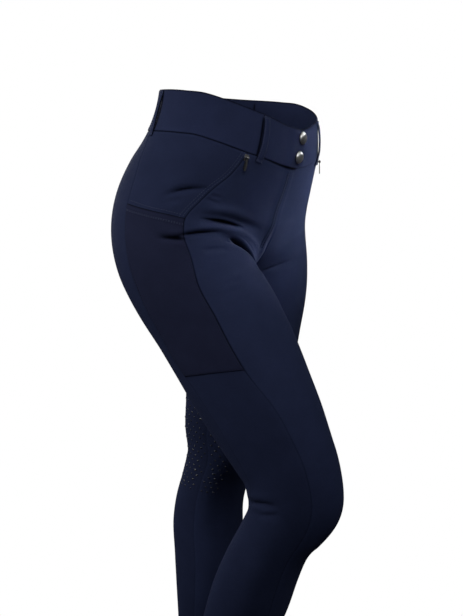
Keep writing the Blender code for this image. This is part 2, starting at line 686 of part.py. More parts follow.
def pull_place(side):
    """The pull's frame: its origin on the crossbar, hanging as low as the bar lets it."""
    slider = slider_place(side)
    across = slider.col[0].to_3d()
    out = across.cross(Vector((0, 0, -1))).normalized()
    down = out.cross(across)
    place = Matrix((across, down, out)).transposed().to_4x4()
    place.translation = slider @ Vector((0, 0, BAR_HEIGHT * METRES))
    return place


def zip_pull(side):
    """An eye round the crossbar, and a tab that hangs from it."""
    points, faces = [], []
    half_step = math.pi / EYE_SIDES
    for radius in (EYE_RADIUS, EYE_HOLE):
        for x in (-EYE_HALF_WIDTH, EYE_HALF_WIDTH):
            for i in range(EYE_SIDES):
                angle = (2 * i + 1) * half_step
                points.append((x, radius * math.cos(angle), radius * math.sin(angle)))
    outer_low, outer_high, hole_low, hole_high = (n * EYE_SIDES for n in range(4))
    for i in range(EYE_SIDES):
        k = (i + 1) % EYE_SIDES
        # the side that faces straight down opens into the tab
        if i != EYE_SIDES - 1:
            faces.append((outer_low + i, outer_low + k, outer_high + k, outer_high + i))
        faces.append((hole_low + i, hole_high + i, hole_high + k, hole_low + k))
        faces.append((outer_low + i, hole_low + i, hole_low + k, outer_low + k))
        faces.append((outer_high + i, outer_high + k, hole_high + k, hole_high + i))
    section = [outer_low + EYE_SIDES - 1, outer_low, outer_high, outer_high + EYE_SIDES - 1]
    for down, half_width, half_thickness in PULL_SECTIONS:
        first = len(points)
        points += [
            (-half_width, down, -half_thickness),
            (-half_width, down, half_thickness),
            (half_width, down, half_thickness),
            (half_width, down, -half_thickness),
        ]
        new = [first, first + 1, first + 2, first + 3]
        faces += [(section[i], section[(i + 1) % 4], new[(i + 1) % 4], new[i]) for i in range(4)]
        section = new
    faces.append(tuple(section))
    return add_object(f"zip_pull_{SIDE_NAMES[side]}", points, faces, "zip metal", pull_place(side))


# ---------------------------------------------------------------- the garment

def build():
    for old in list(bpy.data.objects):
        bpy.data.objects.remove(old)
    rows, anchors = panel_rows()
    waistband()
    for side in (RIGHT, LEFT):
        front_panel(side, rows)
        side_panel(side, rows, anchors)
        back_panel(side, rows)
        for place in LOOP_U:
            belt_loop(side, place)
        zip_slider(side)
        zip_pull(side)
    for stud in STUDS:
        press_stud(*stud)


build()
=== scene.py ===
"""Dressed riding breeches: dense cloth shells, creases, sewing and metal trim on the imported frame.

The wearer's right is -X, the front faces -Y and +Z is up; working sizes are millimetres.
A place on the cloth is (u, v): u goes from the centre front, 0, round one side to the centre back, 1, and
on a leg on round to the inseam; v goes down from the waist.
"""

from math import cos, pi, radians, sin

import bpy
import numpy as np
from mathutils import Matrix, Vector


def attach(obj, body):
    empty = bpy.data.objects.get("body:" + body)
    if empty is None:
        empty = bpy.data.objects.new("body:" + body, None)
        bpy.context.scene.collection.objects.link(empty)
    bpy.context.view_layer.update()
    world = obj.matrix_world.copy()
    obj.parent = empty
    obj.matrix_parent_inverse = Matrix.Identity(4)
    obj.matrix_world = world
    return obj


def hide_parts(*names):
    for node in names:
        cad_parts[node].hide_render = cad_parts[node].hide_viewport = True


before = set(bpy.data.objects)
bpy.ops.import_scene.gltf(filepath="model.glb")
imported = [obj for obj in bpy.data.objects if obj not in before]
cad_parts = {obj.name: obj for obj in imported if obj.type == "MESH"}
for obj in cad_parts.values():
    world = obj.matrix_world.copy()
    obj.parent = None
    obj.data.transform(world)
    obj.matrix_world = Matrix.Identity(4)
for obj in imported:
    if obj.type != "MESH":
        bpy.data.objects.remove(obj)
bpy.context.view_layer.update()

METRES, TINY = 0.001, 1e-6
RIGHT, LEFT = -1, 1
SIDE_NAMES = {RIGHT: "right", LEFT: "left"}

# Cloth, seams and levels down the garment
PANEL_WALL, BAND_WALL, POCKET_WALL, GAP = 1.4, 2.4, 1.1, 0.3
BAND_HEIGHT, HIP_LEVEL, EDGE_LEVEL, CROTCH_LEVEL = 55.0, 115.0, 140.0, 243.0

# The body the cloth is cut for
HIP_JOINT, HIP_TILT, THIGH_LENGTH, SHIN_END = (88.0, 25.0, -150.0), 8.0, 384.0, 710.0
KNEE_ROUNDING, KNEE_X, ANKLE_X, FULL_BEND = 46.0, 80.0, 77.0, 50.0
KNEECAP, KNEECAP_AT, KNEECAP_LENGTH = 20.6, 398.0, 39.0
CROTCH_POINT = (0.0, 14.0, -243.0)
HIP_FULLNESS, LEG_FULLNESS = 0.055, 0.03
# Humps and shades are (middle, half width, height)
CHEEK, CHEEKS_DIP = (radians(146), 0.42), (pi, 0.22, 0.55)

# How the hip ring turns into the two leg rings: shares of the ring near the centre line, and drops
CROTCH_REACH_U, CROTCH_REACH_POWER, CROTCH_ROUNDING = 0.2, 1.6, 40.0
INSEAM_FADE = (CROTCH_LEVEL - 10.0, CROTCH_LEVEL + 130.0)
CENTRE_POWER, CENTRE_SPREAD_U = 1.5, 0.11
FLANK_FADE = (HIP_LEVEL, CROTCH_LEVEL + 50.0)

# Thigh and shin in degrees forward of straight down, and the way from the hip joint to the bend of the knee
POSE = {RIGHT: (24.9, -25.5, 384.0), LEFT: (-7.0, -6.2, 356.0)}

# Half sizes of the level ring round the hips, as (z, middle_y, side, front, back, seat);
# seat is the extra fullness over each buttock
TORSO = (
    (60, 0, 130, 101, 82, 0), (30, 1, 130, 99, 82, 0), (0, 4, 132, 99, 85, 0), (-22, 7, 136, 101, 89.5, 1),
    (-44, 12, 143, 105, 94, 3), (-66, 18, 151, 108, 99.5, 6), (-89, 24, 157, 107, 102.5, 9),
    (-111, 30, 164, 105, 101.5, 11), (-133, 34, 170, 101, 102, 12), (-155, 37, 174, 98, 102, 13),
    (-178, 38, 178, 96, 102, 13), (-200, 38, 180, 96, 101, 12), (-230, 36, 179, 93, 97, 9),
    (-270, 34, 176, 92, 92, 5), (-320, 32, 172, 88, 88, 0),
)

# Half sizes of the ring square to the leg, by the way down from the hip joint,
# as (along, inner, outer, front, back, sink, sway)
LEG = (
    (-60, 80, 92, 92, 126, 0, 0), (0, 80, 93, 92, 122, 0, 0), (45, 80, 94, 91, 113, 7.5, 0),
    (93, 80, 92, 89, 103, 15.5, 0), (130, 79, 88, 87, 96.5, 17, -0.5), (180, 75, 83, 82, 88, 9, -3),
    (240, 68, 75, 75.5, 79, 1.7, -8), (300, 60, 66, 73, 67, 0, -3), (345, 54, 57, 67, 58, 0, 2.5),
    (384, 51, 52, 53.5, 56, 0, -3), (420, 50, 50, 41, 52, 0, 5), (450, 50, 51, 39, 53, 0, 10),
    (490, 50, 53, 41, 56, 0, 9.5), (540, 49, 52, 46, 56, 0, 2), (590, 45, 47, 45, 50, 0, 0),
    (650, 38, 40, 41, 41, 0, 0), (710, 34, 35, 36, 36, 0, 0), (770, 34, 35, 36, 36, 0, 0),
)

# Height of the waistband's top edge, as (u, rise): low in front, high at the back
WAIST = (
    (0.0, -27.5), (0.06, -24.0), (0.17, -11.5), (0.25, -2.0), (0.33, 8.0), (0.42, 17.0), (0.5, 20.2),
    (0.72, 24.5), (1.0, 26.5),
)
RISE_FADE = (60.0, 225.0)

# The two long seams, as (v, front_u, rear_u): the front one starts as the slanted zip pocket
SEAMS = (
    (55, 0.218, 0.688), (70, 0.231, 0.666), (88, 0.250, 0.648), (110, 0.286, 0.633), (130, 0.316, 0.622),
    (152, 0.354, 0.606), (170, 0.366, 0.592), (200, 0.378, 0.582), (253, 0.420, 0.590), (311, 0.427, 0.598),
    (365, 0.420, 0.582), (426, 0.392, 0.572), (502, 0.379, 0.586), (553, 0.362, 0.615), (700, 0.340, 0.640),
    (862, 0.330, 0.645),
)

# Folds of the cloth, as (name, u0, v0, u1, v1, u2, v2, width, height):
# a bow from start past middle to end, its half width and its height (a trough is negative)
FOLDS = {
    RIGHT: (
        ("hip", 0.465, 131, 0.39, 112, 0.3, 111, 7, -3.2),
        ("hip crease ridge", 0.45, 119, 0.38, 102, 0.3, 101, 8, 1.6),
        ("short hip", 0.31, 124, 0.275, 118, 0.245, 121, 6, -1.6),
        ("upper lap ridge", 0.32, 136, 0.23, 133, 0.11, 140, 8, 2.6),
        ("upper lap", 0.31, 148, 0.2, 146, 0.08, 153, 8, -5.5),
        ("lap ridge", 0.365, 165, 0.18, 150, 0.05, 192, 8, 4.2),
        ("outer lap", 0.375, 175, 0.315, 172, 0.24, 171, 6, -3.2),
        ("groin", 0.26, 184, 0.18, 180, 0.11, 214, 8, -6.0),
        ("thigh", 0.35, 204, 0.3, 198, 0.25, 194, 7, -1.4),
        ("low thigh", 0.41, 268, 0.36, 260, 0.3, 256, 9, -1.3),
        ("pocket", 0.47, 169, 0.42, 175, 0.375, 181, 6, -2.2),
        ("seat", 0.7, 262, 0.8, 268, 0.9, 252, 9, -2.6),
        ("hollow", 0.66, 546, 0.57, 536, 0.47, 540, 7, -3.6),
        ("hollow ridge", 0.64, 533, 0.56, 524, 0.48, 528, 7, 1.8),
        ("inner hollow", 0.74, 540, 0.86, 530, 0.96, 540, 7, -3.0),
        ("low hollow", 0.61, 560, 0.54, 554, 0.46, 549, 6, -2.0),
    ),
    LEFT: (
        ("groin", 0.24, 196, 0.16, 204, 0.06, 222, 9, -3.4),
        ("upper lap", 0.26, 166, 0.18, 168, 0.09, 176, 8, -2.0),
        ("inner thigh", 0.03, 262, 0.08, 268, 0.15, 262, 9, -2.0),
        ("seat", 0.62, 252, 0.76, 262, 0.92, 240, 10, -4.6),
        ("seat ridge", 0.64, 236, 0.76, 244, 0.9, 226, 9, 1.8),
        ("low seat", 0.7, 282, 0.79, 286, 0.88, 272, 8, -2.2),
        ("hollow", 0.62, 506, 0.74, 512, 0.86, 500, 8, -2.4),
    ),
}
FOLD_STATIONS, FOLD_TAPER, FOLD_REACH = 25, 0.8, 4
# Half girths, which u is a share of
HIP_GIRTH, KNEE_GIRTH, FRONT_GIRTH, GIRTH_FADE = 480.0, 330.0, 440.0, (300.0, 480.0)

# Fly: the right front laps over the left, as the waistband's end does
FLY_LAP, FLY_LAP_FADE = 4.0, (110.0, 186.0)
FLY_LIFT_U, FLY_LIFT_FADE = (0.020, 0.052), (188.0, 208.0)
# The fly's top layer thins towards its edge: its thickness there, and the width of the slope
FLY_THIN, FLY_SLOPE = 0.35, 9.0
BAND_LAP, BAND_JOIN_U, BAND_LIFT_U = 12.0, 0.172, (0.032, 0.075)
BAND_TAPER, BAND_TAPER_END_U = 3.5, 0.218
# The lap's end leans back towards its lower corner: how far, and over which width of cloth
LAP_LEAN, LAP_LEAN_FADE = 6.0, 28.0
# Belt loops: v down the strap, and how far the front and back pairs stand off the waistband's face there
LOOP_PROFILE = (
    (2.0, 0.0, 0.0), (5.5, 0.0, 0.0), (9.0, 1.1, 0.9), (14.0, 1.9, 1.7), (22.0, 2.3, 2.3), (31.0, 2.4, 2.5),
    (40.0, 2.2, 2.1), (47.0, 1.5, 1.2), (51.5, 0.6, 0.4), (55.4, 0.1, 0.1), (58.0, -0.9, -0.9),
    (61.5, -0.9, -0.9),
)
LOOP_WIDTH, LOOP_WALL, LOOP_THIN = 11.0, 1.6, 0.2
LOOP_U = {"front": BAND_JOIN_U, "back": 0.661}

# Creases: bows like the folds; a trough is steep above its line and soft below; unseen sides have like ones
CREASES = {
    RIGHT: (
        ("hip", 0.456, 128, 0.378, 114, 0.296, 110, 2.5, -2.9),
        ("hip light", 0.45, 120, 0.388, 110, 0.32, 107, 4.5, 0.7),
        ("second hip", 0.458, 134, 0.412, 135, 0.37, 128, 4.6, -1.2),
        ("hip patch", 0.45, 139, 0.398, 141, 0.366, 133, 4.5, 0.9),
        ("short hip", 0.3, 122, 0.278, 124, 0.246, 125, 2.4, -1.5),
        ("upper short hip", 0.29, 117, 0.27, 117, 0.25, 117, 2.2, -0.9),
        ("top short hip", 0.28, 110, 0.268, 109, 0.252, 110, 2.2, -0.6),
        ("upper lap light", 0.3, 137, 0.233, 132, 0.16, 130, 6.0, 1.0),
        ("upper lap", 0.304, 151, 0.225, 149, 0.14, 158, 3.0, -3.6),
        ("upper lap deep", 0.262, 151, 0.215, 150, 0.165, 157, 3.8, -2.9),
        ("outer lap", 0.404, 176, 0.32, 170, 0.236, 169, 2.8, -3.8),
        ("lap roll", 0.35, 166, 0.2, 156, 0.08, 200, 6.0, 1.2),
        ("groin", 0.218, 180, 0.168, 184, 0.1, 226, 4.0, -7.2),
        ("groin step", 0.24, 186, 0.224, 188, 0.2, 187, 2.0, -0.7),
        ("thigh light", 0.314, 190, 0.276, 186, 0.23, 179, 4.5, 0.8),
        ("thigh", 0.34, 200, 0.3, 198, 0.256, 198, 4.0, -1.9),
        ("low thigh", 0.394, 267, 0.356, 263, 0.312, 260, 3.2, -2.1),
        ("high thigh", 0.366, 258, 0.33, 252, 0.29, 246, 2.6, -1.7),
        ("pocket", 0.462, 173, 0.404, 177, 0.356, 181, 4.0, -3.4),
        ("low pocket", 0.408, 180, 0.39, 181, 0.372, 181, 2.4, -1.2),
        ("pocket light", 0.456, 178, 0.42, 181, 0.38, 188, 5.0, 1.1),
        ("hollow", 0.626, 546, 0.55, 533, 0.476, 538, 3.2, -1.7),
        ("low hollow", 0.566, 558, 0.512, 551, 0.464, 545, 2.8, -1.3),
        ("inner hollow", 0.72, 538, 0.82, 533, 0.93, 541, 3.2, -2.6),
        ("low inner hollow", 0.76, 552, 0.85, 547, 0.92, 552, 2.8, -1.6),
        ("seat", 0.69, 262, 0.78, 269, 0.86, 262, 4.2, -1.6),
        ("low seat", 0.74, 283, 0.82, 288, 0.9, 276, 4.0, -1.1),
        ("inner thigh", 0.03, 262, 0.08, 270, 0.14, 266, 3.6, -1.2),
    ),
    LEFT: (
        ("groin", 0.176, 205, 0.12, 209, 0.045, 220, 3.2, -0.8),
        ("crotch line", 0.035, 220, 0.09, 216, 0.142, 207, 2.0, -1.2),
        ("upper lap", 0.25, 166, 0.18, 167, 0.1, 175, 3.2, -0.5),
        ("short hip", 0.318, 121, 0.284, 118, 0.252, 122, 2.8, -1.2),
        ("hip", 0.43, 128, 0.378, 120, 0.326, 118, 3.4, -1.3),
        ("inner thigh", 0.03, 258, 0.08, 265, 0.14, 260, 3.6, -1.5),
        ("seat", 0.63, 253, 0.76, 263, 0.9, 242, 4.2, -2.6),
        ("low seat", 0.69, 279, 0.78, 284, 0.86, 272, 3.6, -1.6),
        ("outer seat", 0.56, 240, 0.62, 248, 0.69, 244, 3.6, -1.2),
        ("hollow", 0.64, 507, 0.74, 512, 0.85, 502, 3.4, -1.8),
        ("low hollow", 0.66, 524, 0.73, 528, 0.82, 519, 3.0, -1.2),
    ),
}
CREASE_STATIONS = 60
BASE_SHARE = 0.62  # of each fold's height: its crease makes up the rest
STEEP, SOFT, LIP, LIP_AT, LIP_WIDTH = 0.55, 1.5, 0.28, 1.5, 1.0
# Creases deeper than this keep light out: how dark, over which depths, and the share of their width
DEEP_CREASE, FOLD_SHADE, SHADE_DEPTH, SHADE_SPREAD = -2.3, 0.9, (0.7, 3.2), 0.75
# Upright soft folds beside the fly, as (u, where v fades in and out, width, height)
FLY_FOLDS = ((0.012, (52, 64, 172, 196), 5.0, -1.0), (0.030, (56, 68, 154, 178), 5.0, 0.1))

# Panel rows: v at the centre front, the front seam, the rear seam and the centre back, even steps from the
# row above, and whether the first and the last of them have close rows
TOP_ROW = (51.5, 55, 55, 55)
ROWS = {
    "pocket opening": ((150, 152, 137, 150), 50, True, True),
    "crotch": ((243, 243, 243, 243), 56, True, False),
    "pocket bottom": ((352, 365, 340, 352), 28, False, True),
    "above knee": ((490, 490, 490, 490), 26, True, False),
    "below knee": ((580, 580, 580, 580), 40, False, False),
    "hem": ((862, 862, 862, 862), 44, False, True),
}
EDGE_STEPS = np.array([0.0, 0.5, 1.1, 2.0, 3.0, 4.0, 5.0, 6.5, 8.0, 9.5])  # in from a sewn edge
PANEL_COLUMNS, ROUGH_COLUMNS = {"front": 60, "side": 22, "back": 46}, 9
BAND_STEP, BAND_ROWS, BAND_END_COLUMNS, BAND_END_STEPS = 4.0, 14, 38, np.array([0, 0.6, 1.3, 2.2])
BAND_EDGE = np.array([0.0, 0.008, 0.018, 0.034, 0.06])
LOOP_ROWS, LOOP_SHARE = 44, np.array([-1, -0.94, -0.84, -0.6, -0.3, 0, 0.3, 0.6, 0.84, 0.94, 1])

# Seams, hems and edges
SEWN_GAP, SEAM_SLIT, INNER_FACE = 0.06, 0.01, 0.25
SEAM_DIP, SEAM_ROLL = (0, 0.9, 0.6), (3.4, 2.2, 0.16)
# Humps of painted shade in a seam's groove and of a painted highlight on the cloth beside it
SEAM_SHADE, SEAM_HIGHLIGHT = (0, 0.75, 0.85), (1.7, 2.2, 0.08)
EDGE_ROUNDING, EDGE_SHADE = (0, 0.8, 0.5), (0, 1.6, 0.92)
# Hems, as (height, depth, rounding): they slope off at their depth
LEG_HEM, POCKET_HEM, HEM_SLOPE = (0.4, 18.0, EDGE_ROUNDING), (0.3, 9.5, (0, 0.7, 0.5)), 1.0
POCKET_PUFF, PUFF_POWERS, POCKET_GAPE, GAPE_POWER, POCKET_GAPE_LENGTH = 0.9, (0.7, 0.5), 1.4, 0.8, 16.0
POCKET_FURROW, POCKET_EDGE_SHADE = (3.0, 0.8, 0.18), (0, 1.3, 0.92)
BAND_CROWN, BAND_CROWN_POWER, BAND_ROUNDING, BAND_ROUNDING_INSIDE = 0.25, 0.6, (0, 1.1, 0.9), 0.6
LOOP_CROWN, LOOP_FURROW = 0.35, (3.6, 0.7, 0.18)
LOOP_ROUNDING, LOOP_EDGE_SHADE = (0, 0.1, 0.5), (0, 0.04, 0.97)
# Strength of each border's seam, above and below the pocket, and where down the leg it changes
SEAM_FADE = (340.0, 400.0)
FLY_EDGE = {RIGHT: (0.0, 0.22), LEFT: (0.7, 0.22)}
FRONT_SEAM_EDGE, REAR_SEAM_EDGE = (1.0, 0.35), (0.45, 0.2)
SEAT_SEAM_EDGE, WAIST_EDGE = (0.7, 0.22), (1.0, 1.0)
# The darkest tone that all the shades together may reach
DARKEST = -0.97
# Shade at the lap's end, and under the waistband's lower edge until it fades out
LAP_END_SHADE, UNDER_BAND_SHADE, UNDER_BAND_FADE_U = (0, 1.4, 0.8), (0, 1.3, 0.85), (0.06, 0.17)
# Shade beside the belt loops, on the side towards the hip; the waistband has finer columns there
LOOP_SHADE, LOOP_SHADE_WIDTH, LOOP_SHADE_U, LOOP_SHADE_FADE = 0.97, 1.8, (0.1855, 0.6475), (3, 9, 52, 56)
LOOP_SHADE_STEPS = np.array([-3.0, -2.0, -1.2, -0.5, 0.5, 1.2, 2.0, 3.0])

# Threads as (pitch, length, radius), and along, thickness and height of the rings of one stitch
STITCH, FLY_STITCH = (3.6, 2.3, 0.27), (3.6, 2.3, 0.44)
SLANT_STITCH, LOOP_STITCH = (3.6, 2.3, 0.32), (2.4, 1.9, 0.27)
STITCH_SHAPE = ((-0.5, 0.5, -1.0), (-0.3, 1.0, 0.1), (0.0, 1.05, 0.35), (0.3, 1.0, 0.1), (0.5, 0.5, -1.0))
STITCH_SIDES = 5
# Rows of stitches, by how far in from the edge they run, and the fly's by how far past its sewn line
LOOP_SIDE_ROWS, LOOP_TACK_ROWS, POCKET_ROWS, POCKET_HEM_ROWS = (1.9,), (1.6, 3.0), (3.0,), (8.0, 9.4)
SLANT_ROWS, LEG_HEM_ROWS, FLY_ROWS = (4.0, 8.0), (16.0, 18.2), (0.0, 5.0)
# Shade in the furrows of the fly's stitches: strength, half width and where it fades in and out
FLY_FURROW, FLY_FURROW_WIDTH, FLY_FURROW_FADE = 0.45, 1.6, (57.0, 62.0, 181.0, 187.0)
# Sewn lines over the cloth, as (u, v) places
PATH_POINTS = 80
FLY_STITCHING = (
    (0.018, 57), (0.014, 75), (0.015, 95), (0.018, 115), (0.018, 140), (0.024, 158), (0.0335, 176),
    (0.040, 187),
)
POCKET_TOP_STITCHING = ((0.368, 147.5), (0.430, 144.0), (0.490, 141.0), (0.550, 137.5), (0.610, 134.0))

# Rubber drops inside the knees, as (from, to, step): rows down the leg, and columns across from the inseam
DROP_ROWS, DROP_COLUMNS, DROP_OFF_SEAM, DROP_JITTER = (400.0, 560.0, 7.0), (-49.0, 34.0, 11.0), 3.0, 0.25
DROP_RADIUS, DROP_SPREAD, DROP_LONG, DROP_LONG_SHARE = 1.45, (0.85, 1.1), 2.1, 0.18
DROP_SIDES, DROP_SEED = 10, 7
DROP_SHAPE, DROP_SUNK = ((1.0, 0.0), (0.94, 0.26), (0.62, 0.48), (0.0, 0.56)), 0.1

# Looks: the twill's ribs and yarns as (direction, pitch, share), and mottle as (scale, detail, roughness)
TWILL, TWILL_ANGLE, WAVE_UNIT = (("X", 0.65, 1.0), ("Y", 0.52, 0.45)), 27.0, 0.314
SLUB, CLOUD = (0.45, 4.0, 0.6), (0.028, 3.0, 0.55)
# Brightness from the yarns, the mottle and the ribs, height of the yarns, and how far the roughness varies
SLUB_SWING, CLOUD_SWING, WEAVE_SWING = (0.86, 1.14), (0.84, 1.16), (0.90, 1.08)
YARN_SWING, ROUGHNESS_SWING = (0.7, 1.3), 0.06
TWILL_BUMP, TWILL_RELIEF, RIB_DISTORTION, RIB_DETAIL = 0.5, 0.00012, 0.6, 1.0
SHEEN, SHEEN_ROUGHNESS, SHEEN_TINT, CLOTH_LEVEL = 0.04, 0.45, (0.40, 0.50, 0.95, 1), 0.01
# Cloth as (colour, roughness)
FABRICS = {
    "front cloth": ((0.0201, 0.0272, 0.0655), 0.60),
    "side cloth": ((0.0178, 0.0238, 0.0570), 0.62),
    "back cloth": ((0.0175, 0.0232, 0.0555), 0.62),
    "pocket cloth": ((0.0164, 0.0194, 0.0442), 0.70),
    "waistband cloth": ((0.0196, 0.0261, 0.0637), 0.56),
    "loop cloth": ((0.0190, 0.0254, 0.0618), 0.58),
}
# Metal as (colour, darker film, roughness); thread and rubber add (grain, relief in metres, specular level)
TRIMS = {
    "stud metal": ((0.62, 0.62, 0.61), (0.40, 0.40, 0.40), 0.30),
    # a near-black ring under each stud's cap: painted shadow of the cap on the cloth
    "stud shadow ring": ((0.030, 0.030, 0.032), (0.014, 0.014, 0.016), 0.38),
    "zip metal": ((0.92, 0.92, 0.92), (0.66, 0.66, 0.67), 0.18),
    "pull metal": ((0.44, 0.44, 0.46), (0.10, 0.10, 0.11), 0.20),
    "thread": ((0.062, 0.075, 0.135), (0.030, 0.038, 0.080), 0.62, 2400.0, 0.00008, 0.15),
    "dark thread": ((0.005, 0.007, 0.020), (0.003, 0.004, 0.012), 0.66, 2400.0, 0.00008, 0.10),
    "grip rubber": ((0.021, 0.024, 0.038), (0.012, 0.014, 0.026), 0.19, 900.0, 0.00004, 0.5),
}
# How trims vary: detail of the grain, ends of the colour ramp, swing of the roughness, strength of the bump
METAL_GRAIN, PLAIN_GRAIN = (5.0, (0.35, 0.70), (-0.08, 0.12), 0.15), (3.0, (0.3, 0.7), (-0.08, 0.08), 0.4)
SCRATCH_STRETCH, SCRATCH_SCALE, SCRATCH_DETAIL = (1.0, 0.12, 0.6), 2600.0, 2.0

# Press studs: (radius, height) from the foot to the top, and (name, u, v) of each
CAP_PROFILE = (
    (7.9, 0.0), (8.3, 0.3), (8.5, 0.9), (8.45, 1.5), (8.2, 2.1), (7.75, 2.8), (7.1, 3.5), (6.2, 4.15),
    (5.1, 4.65),
    (3.9, 5.0), (2.6, 5.25), (1.3, 5.37), (0.0, 5.4),
)
# The dark ring wider than the cap's foot, painted as the cap's shadow
SHADOW_RING_PROFILE = ((9.1, 0.0), (9.3, 0.35), (9.2, 0.8), (8.7, 1.0), (8.2, 0.9), (0.0, 0.85))
STUD_SIDES, STUDS = 56, (("top", -0.007, 11.3), ("low", 0.004, 36.2))

# Stage and light, in metres
FLOOR_HALF, FLOOR_LEVEL = 12.0, -0.93
SKY_LOW, SKY_HIGH, SKY_STRENGTH = (0.35, 0.36, 0.40), (1.0, 1.0, 1.0), 0.08
# Lights: direction as (rightwards, backwards, up) seen from the camera, aim, distance, size, power and spread
LIGHTS = (
    ("key", (0.8, 0.35, 0.8), (-0.05, -0.05, -0.18), 1.4, (0.7, 0.7), 0.62, 70),
    ("front", (1.0, -0.3, 0.7), (0.10, -0.10, -0.06), 1.3, (0.12, 0.16), 0.185, 10),
    ("fill", (0.1, 1.0, 0.5), (-0.12, -0.03, -0.10), 1.5, (0.7, 0.7), 1.06, 50),
    ("rim", (-1.0, 0.1, 0.4), (0.0, 0.05, -0.20), 1.4, (0.6, 1.0), 2.5, 80),
    ("back", (-0.5, -0.9, 0.4), (0.0, 0.05, -0.35), 1.6, (0.9, 1.0), 1.4, 90),
)
# Camera: angles in degrees, distance and clipping in metres; directions across its view and back to it
LENS, SENSOR_WIDTH, CLIPPING, CAMERA_DISTANCE, CAMERA_PITCH = 84.16, 36.0, (0.05, 60), 2.0, 4.289
CAMERA_AIM, AZIMUTH = (-4.2, 7.2, -122.0), radians(-60.0)
ACROSS_VIEW, BEHIND_CAMERA = (
    Vector((cos(AZIMUTH), sin(AZIMUTH), 0)),
    Vector((sin(AZIMUTH), -cos(AZIMUTH), 0)),
)
GRIDS = {}


# ---- tables and small curves

def curve(x, y, at):
    """A smooth line through points in rising order of x, read at the given places."""
    step = np.diff(x)
    slope = np.diff(y) / step
    tangent = np.empty_like(y)
    tangent[0], tangent[-1] = slope[0], slope[-1]
    tangent[1:-1] = (slope[:-1] * step[1:] + slope[1:] * step[:-1]) / (step[:-1] + step[1:])
    i = np.clip(np.searchsorted(x, at) - 1, 0, len(step) - 1)
    t = np.clip((at - x[i]) / step[i], 0, 1)
    ends = (2 * t**3 - 3 * t**2 + 1) * y[i] + (3 * t**2 - 2 * t**3) * y[i + 1]
    leans = (t**3 - 2 * t**2 + t) * tangent[i] + (t**3 - t**2) * tangent[i + 1]
    return ends + leans * step[i]


def columns(table, at):
    """The other columns of a table, read smoothly at the given values of its first column."""
    first, *others = np.array(sorted(table), float).T
    return [curve(first, values, at) for values in others]


def ease(low, high, x):
    """0 below low, 1 above high, and smooth between them."""
    t = np.clip((x - low) / (high - low), 0, 1)
    return t * t * (3 - 2 * t)


def between(start, full, fading, end, x):
    return ease(start, full, x) * (1 - ease(fading, end, x))


def hump(x, middle, width, height=1):
    return height * np.exp(-(((x - middle) / width) ** 2))


def unit(vectors):
    return vectors / np.maximum(np.linalg.norm(vectors, axis=-1, keepdims=True), 1e-9)


# ---- the cloth's inner face

def torso_ring(side, u, v):
    """The ring round the hips at drop v, which tips forward towards the waist."""
    angle = pi * u
    z = columns(WAIST, np.abs(u))[0] * (1 - ease(*RISE_FADE, v)) - v
    middle_y, half_side, front, back, seat = columns(TORSO, z)
    seat = seat * (hump(angle, *CHEEK) - hump(angle, *CHEEKS_DIP))
    full = 1 + HIP_FULLNESS * np.sin(2 * angle) ** 2
    depth = np.where(np.cos(angle) > 0, front, back)
    x = (half_side * full + seat) * np.sin(angle)
    y = middle_y - (depth * full + seat) * np.cos(angle)
    return np.stack([side * x, y, z], -1)


def leg_axis(side, along):
    """The middle of the leg and its forward direction: straight at thigh and shin, an arc at the knee."""
    *angles, knee = POSE[side]
    thigh, shin = (radians(angle) for angle in angles)
    start, end = knee - KNEE_ROUNDING, knee + KNEE_ROUNDING
    rate = (shin - thigh) / (end - start)
    upper, lower = np.minimum(along, start), np.maximum(along - end, 0)
    lean = thigh + rate * (np.clip(along, start, end) - start)
    x = side * np.interp(along, (0, knee, SHIN_END), (HIP_JOINT[0], KNEE_X, ANKLE_X))
    y = HIP_JOINT[1] - sin(thigh) * upper + (np.cos(lean) - cos(thigh)) / rate - sin(shin) * lower
    z = HIP_JOINT[2] - cos(thigh) * upper - (np.sin(lean) - sin(thigh)) / rate - cos(shin) * lower
    forward = np.stack([0 * lean, -np.cos(lean), np.sin(lean)], -1)
    return np.stack([x, y, z + side * HIP_TILT], -1), forward


def leg_ring(side, u, v):
    """The ring square to the leg; u is 0 at the inseam, 0.25 in front, 0.5 outside and 0.75 behind.

    A bent knee stands forward of the shin, and the calf of a straight leg sways back.
    """
    along = v + HIP_JOINT[2]
    thigh, shin, knee = POSE[side]
    station = np.where(along < knee, along * THIGH_LENGTH / knee, along - knee + THIGH_LENGTH)
    inner, outer, front, back, sink, sway = columns(LEG, station)
    middle, forward = leg_axis(side, along)
    angle = 2 * pi * u
    inward, ahead = np.cos(angle), np.sin(angle)
    bend = sin(radians(thigh - shin)) / sin(radians(FULL_BEND))
    kneecap = KNEECAP * bend * hump(station, KNEECAP_AT, KNEECAP_LENGTH) * ahead**2
    full = 1 + LEG_FULLNESS * np.sin(2 * angle) ** 2
    out = -inward * full * np.where(inward > 0, inner, outer)
    fore = ahead * full * np.where(ahead > 0, front - bend * sink + kneecap, back)
    ring = middle + forward * (fore - (1 - bend) * sway)[..., None]
    ring[..., 0] += side * out
    return ring


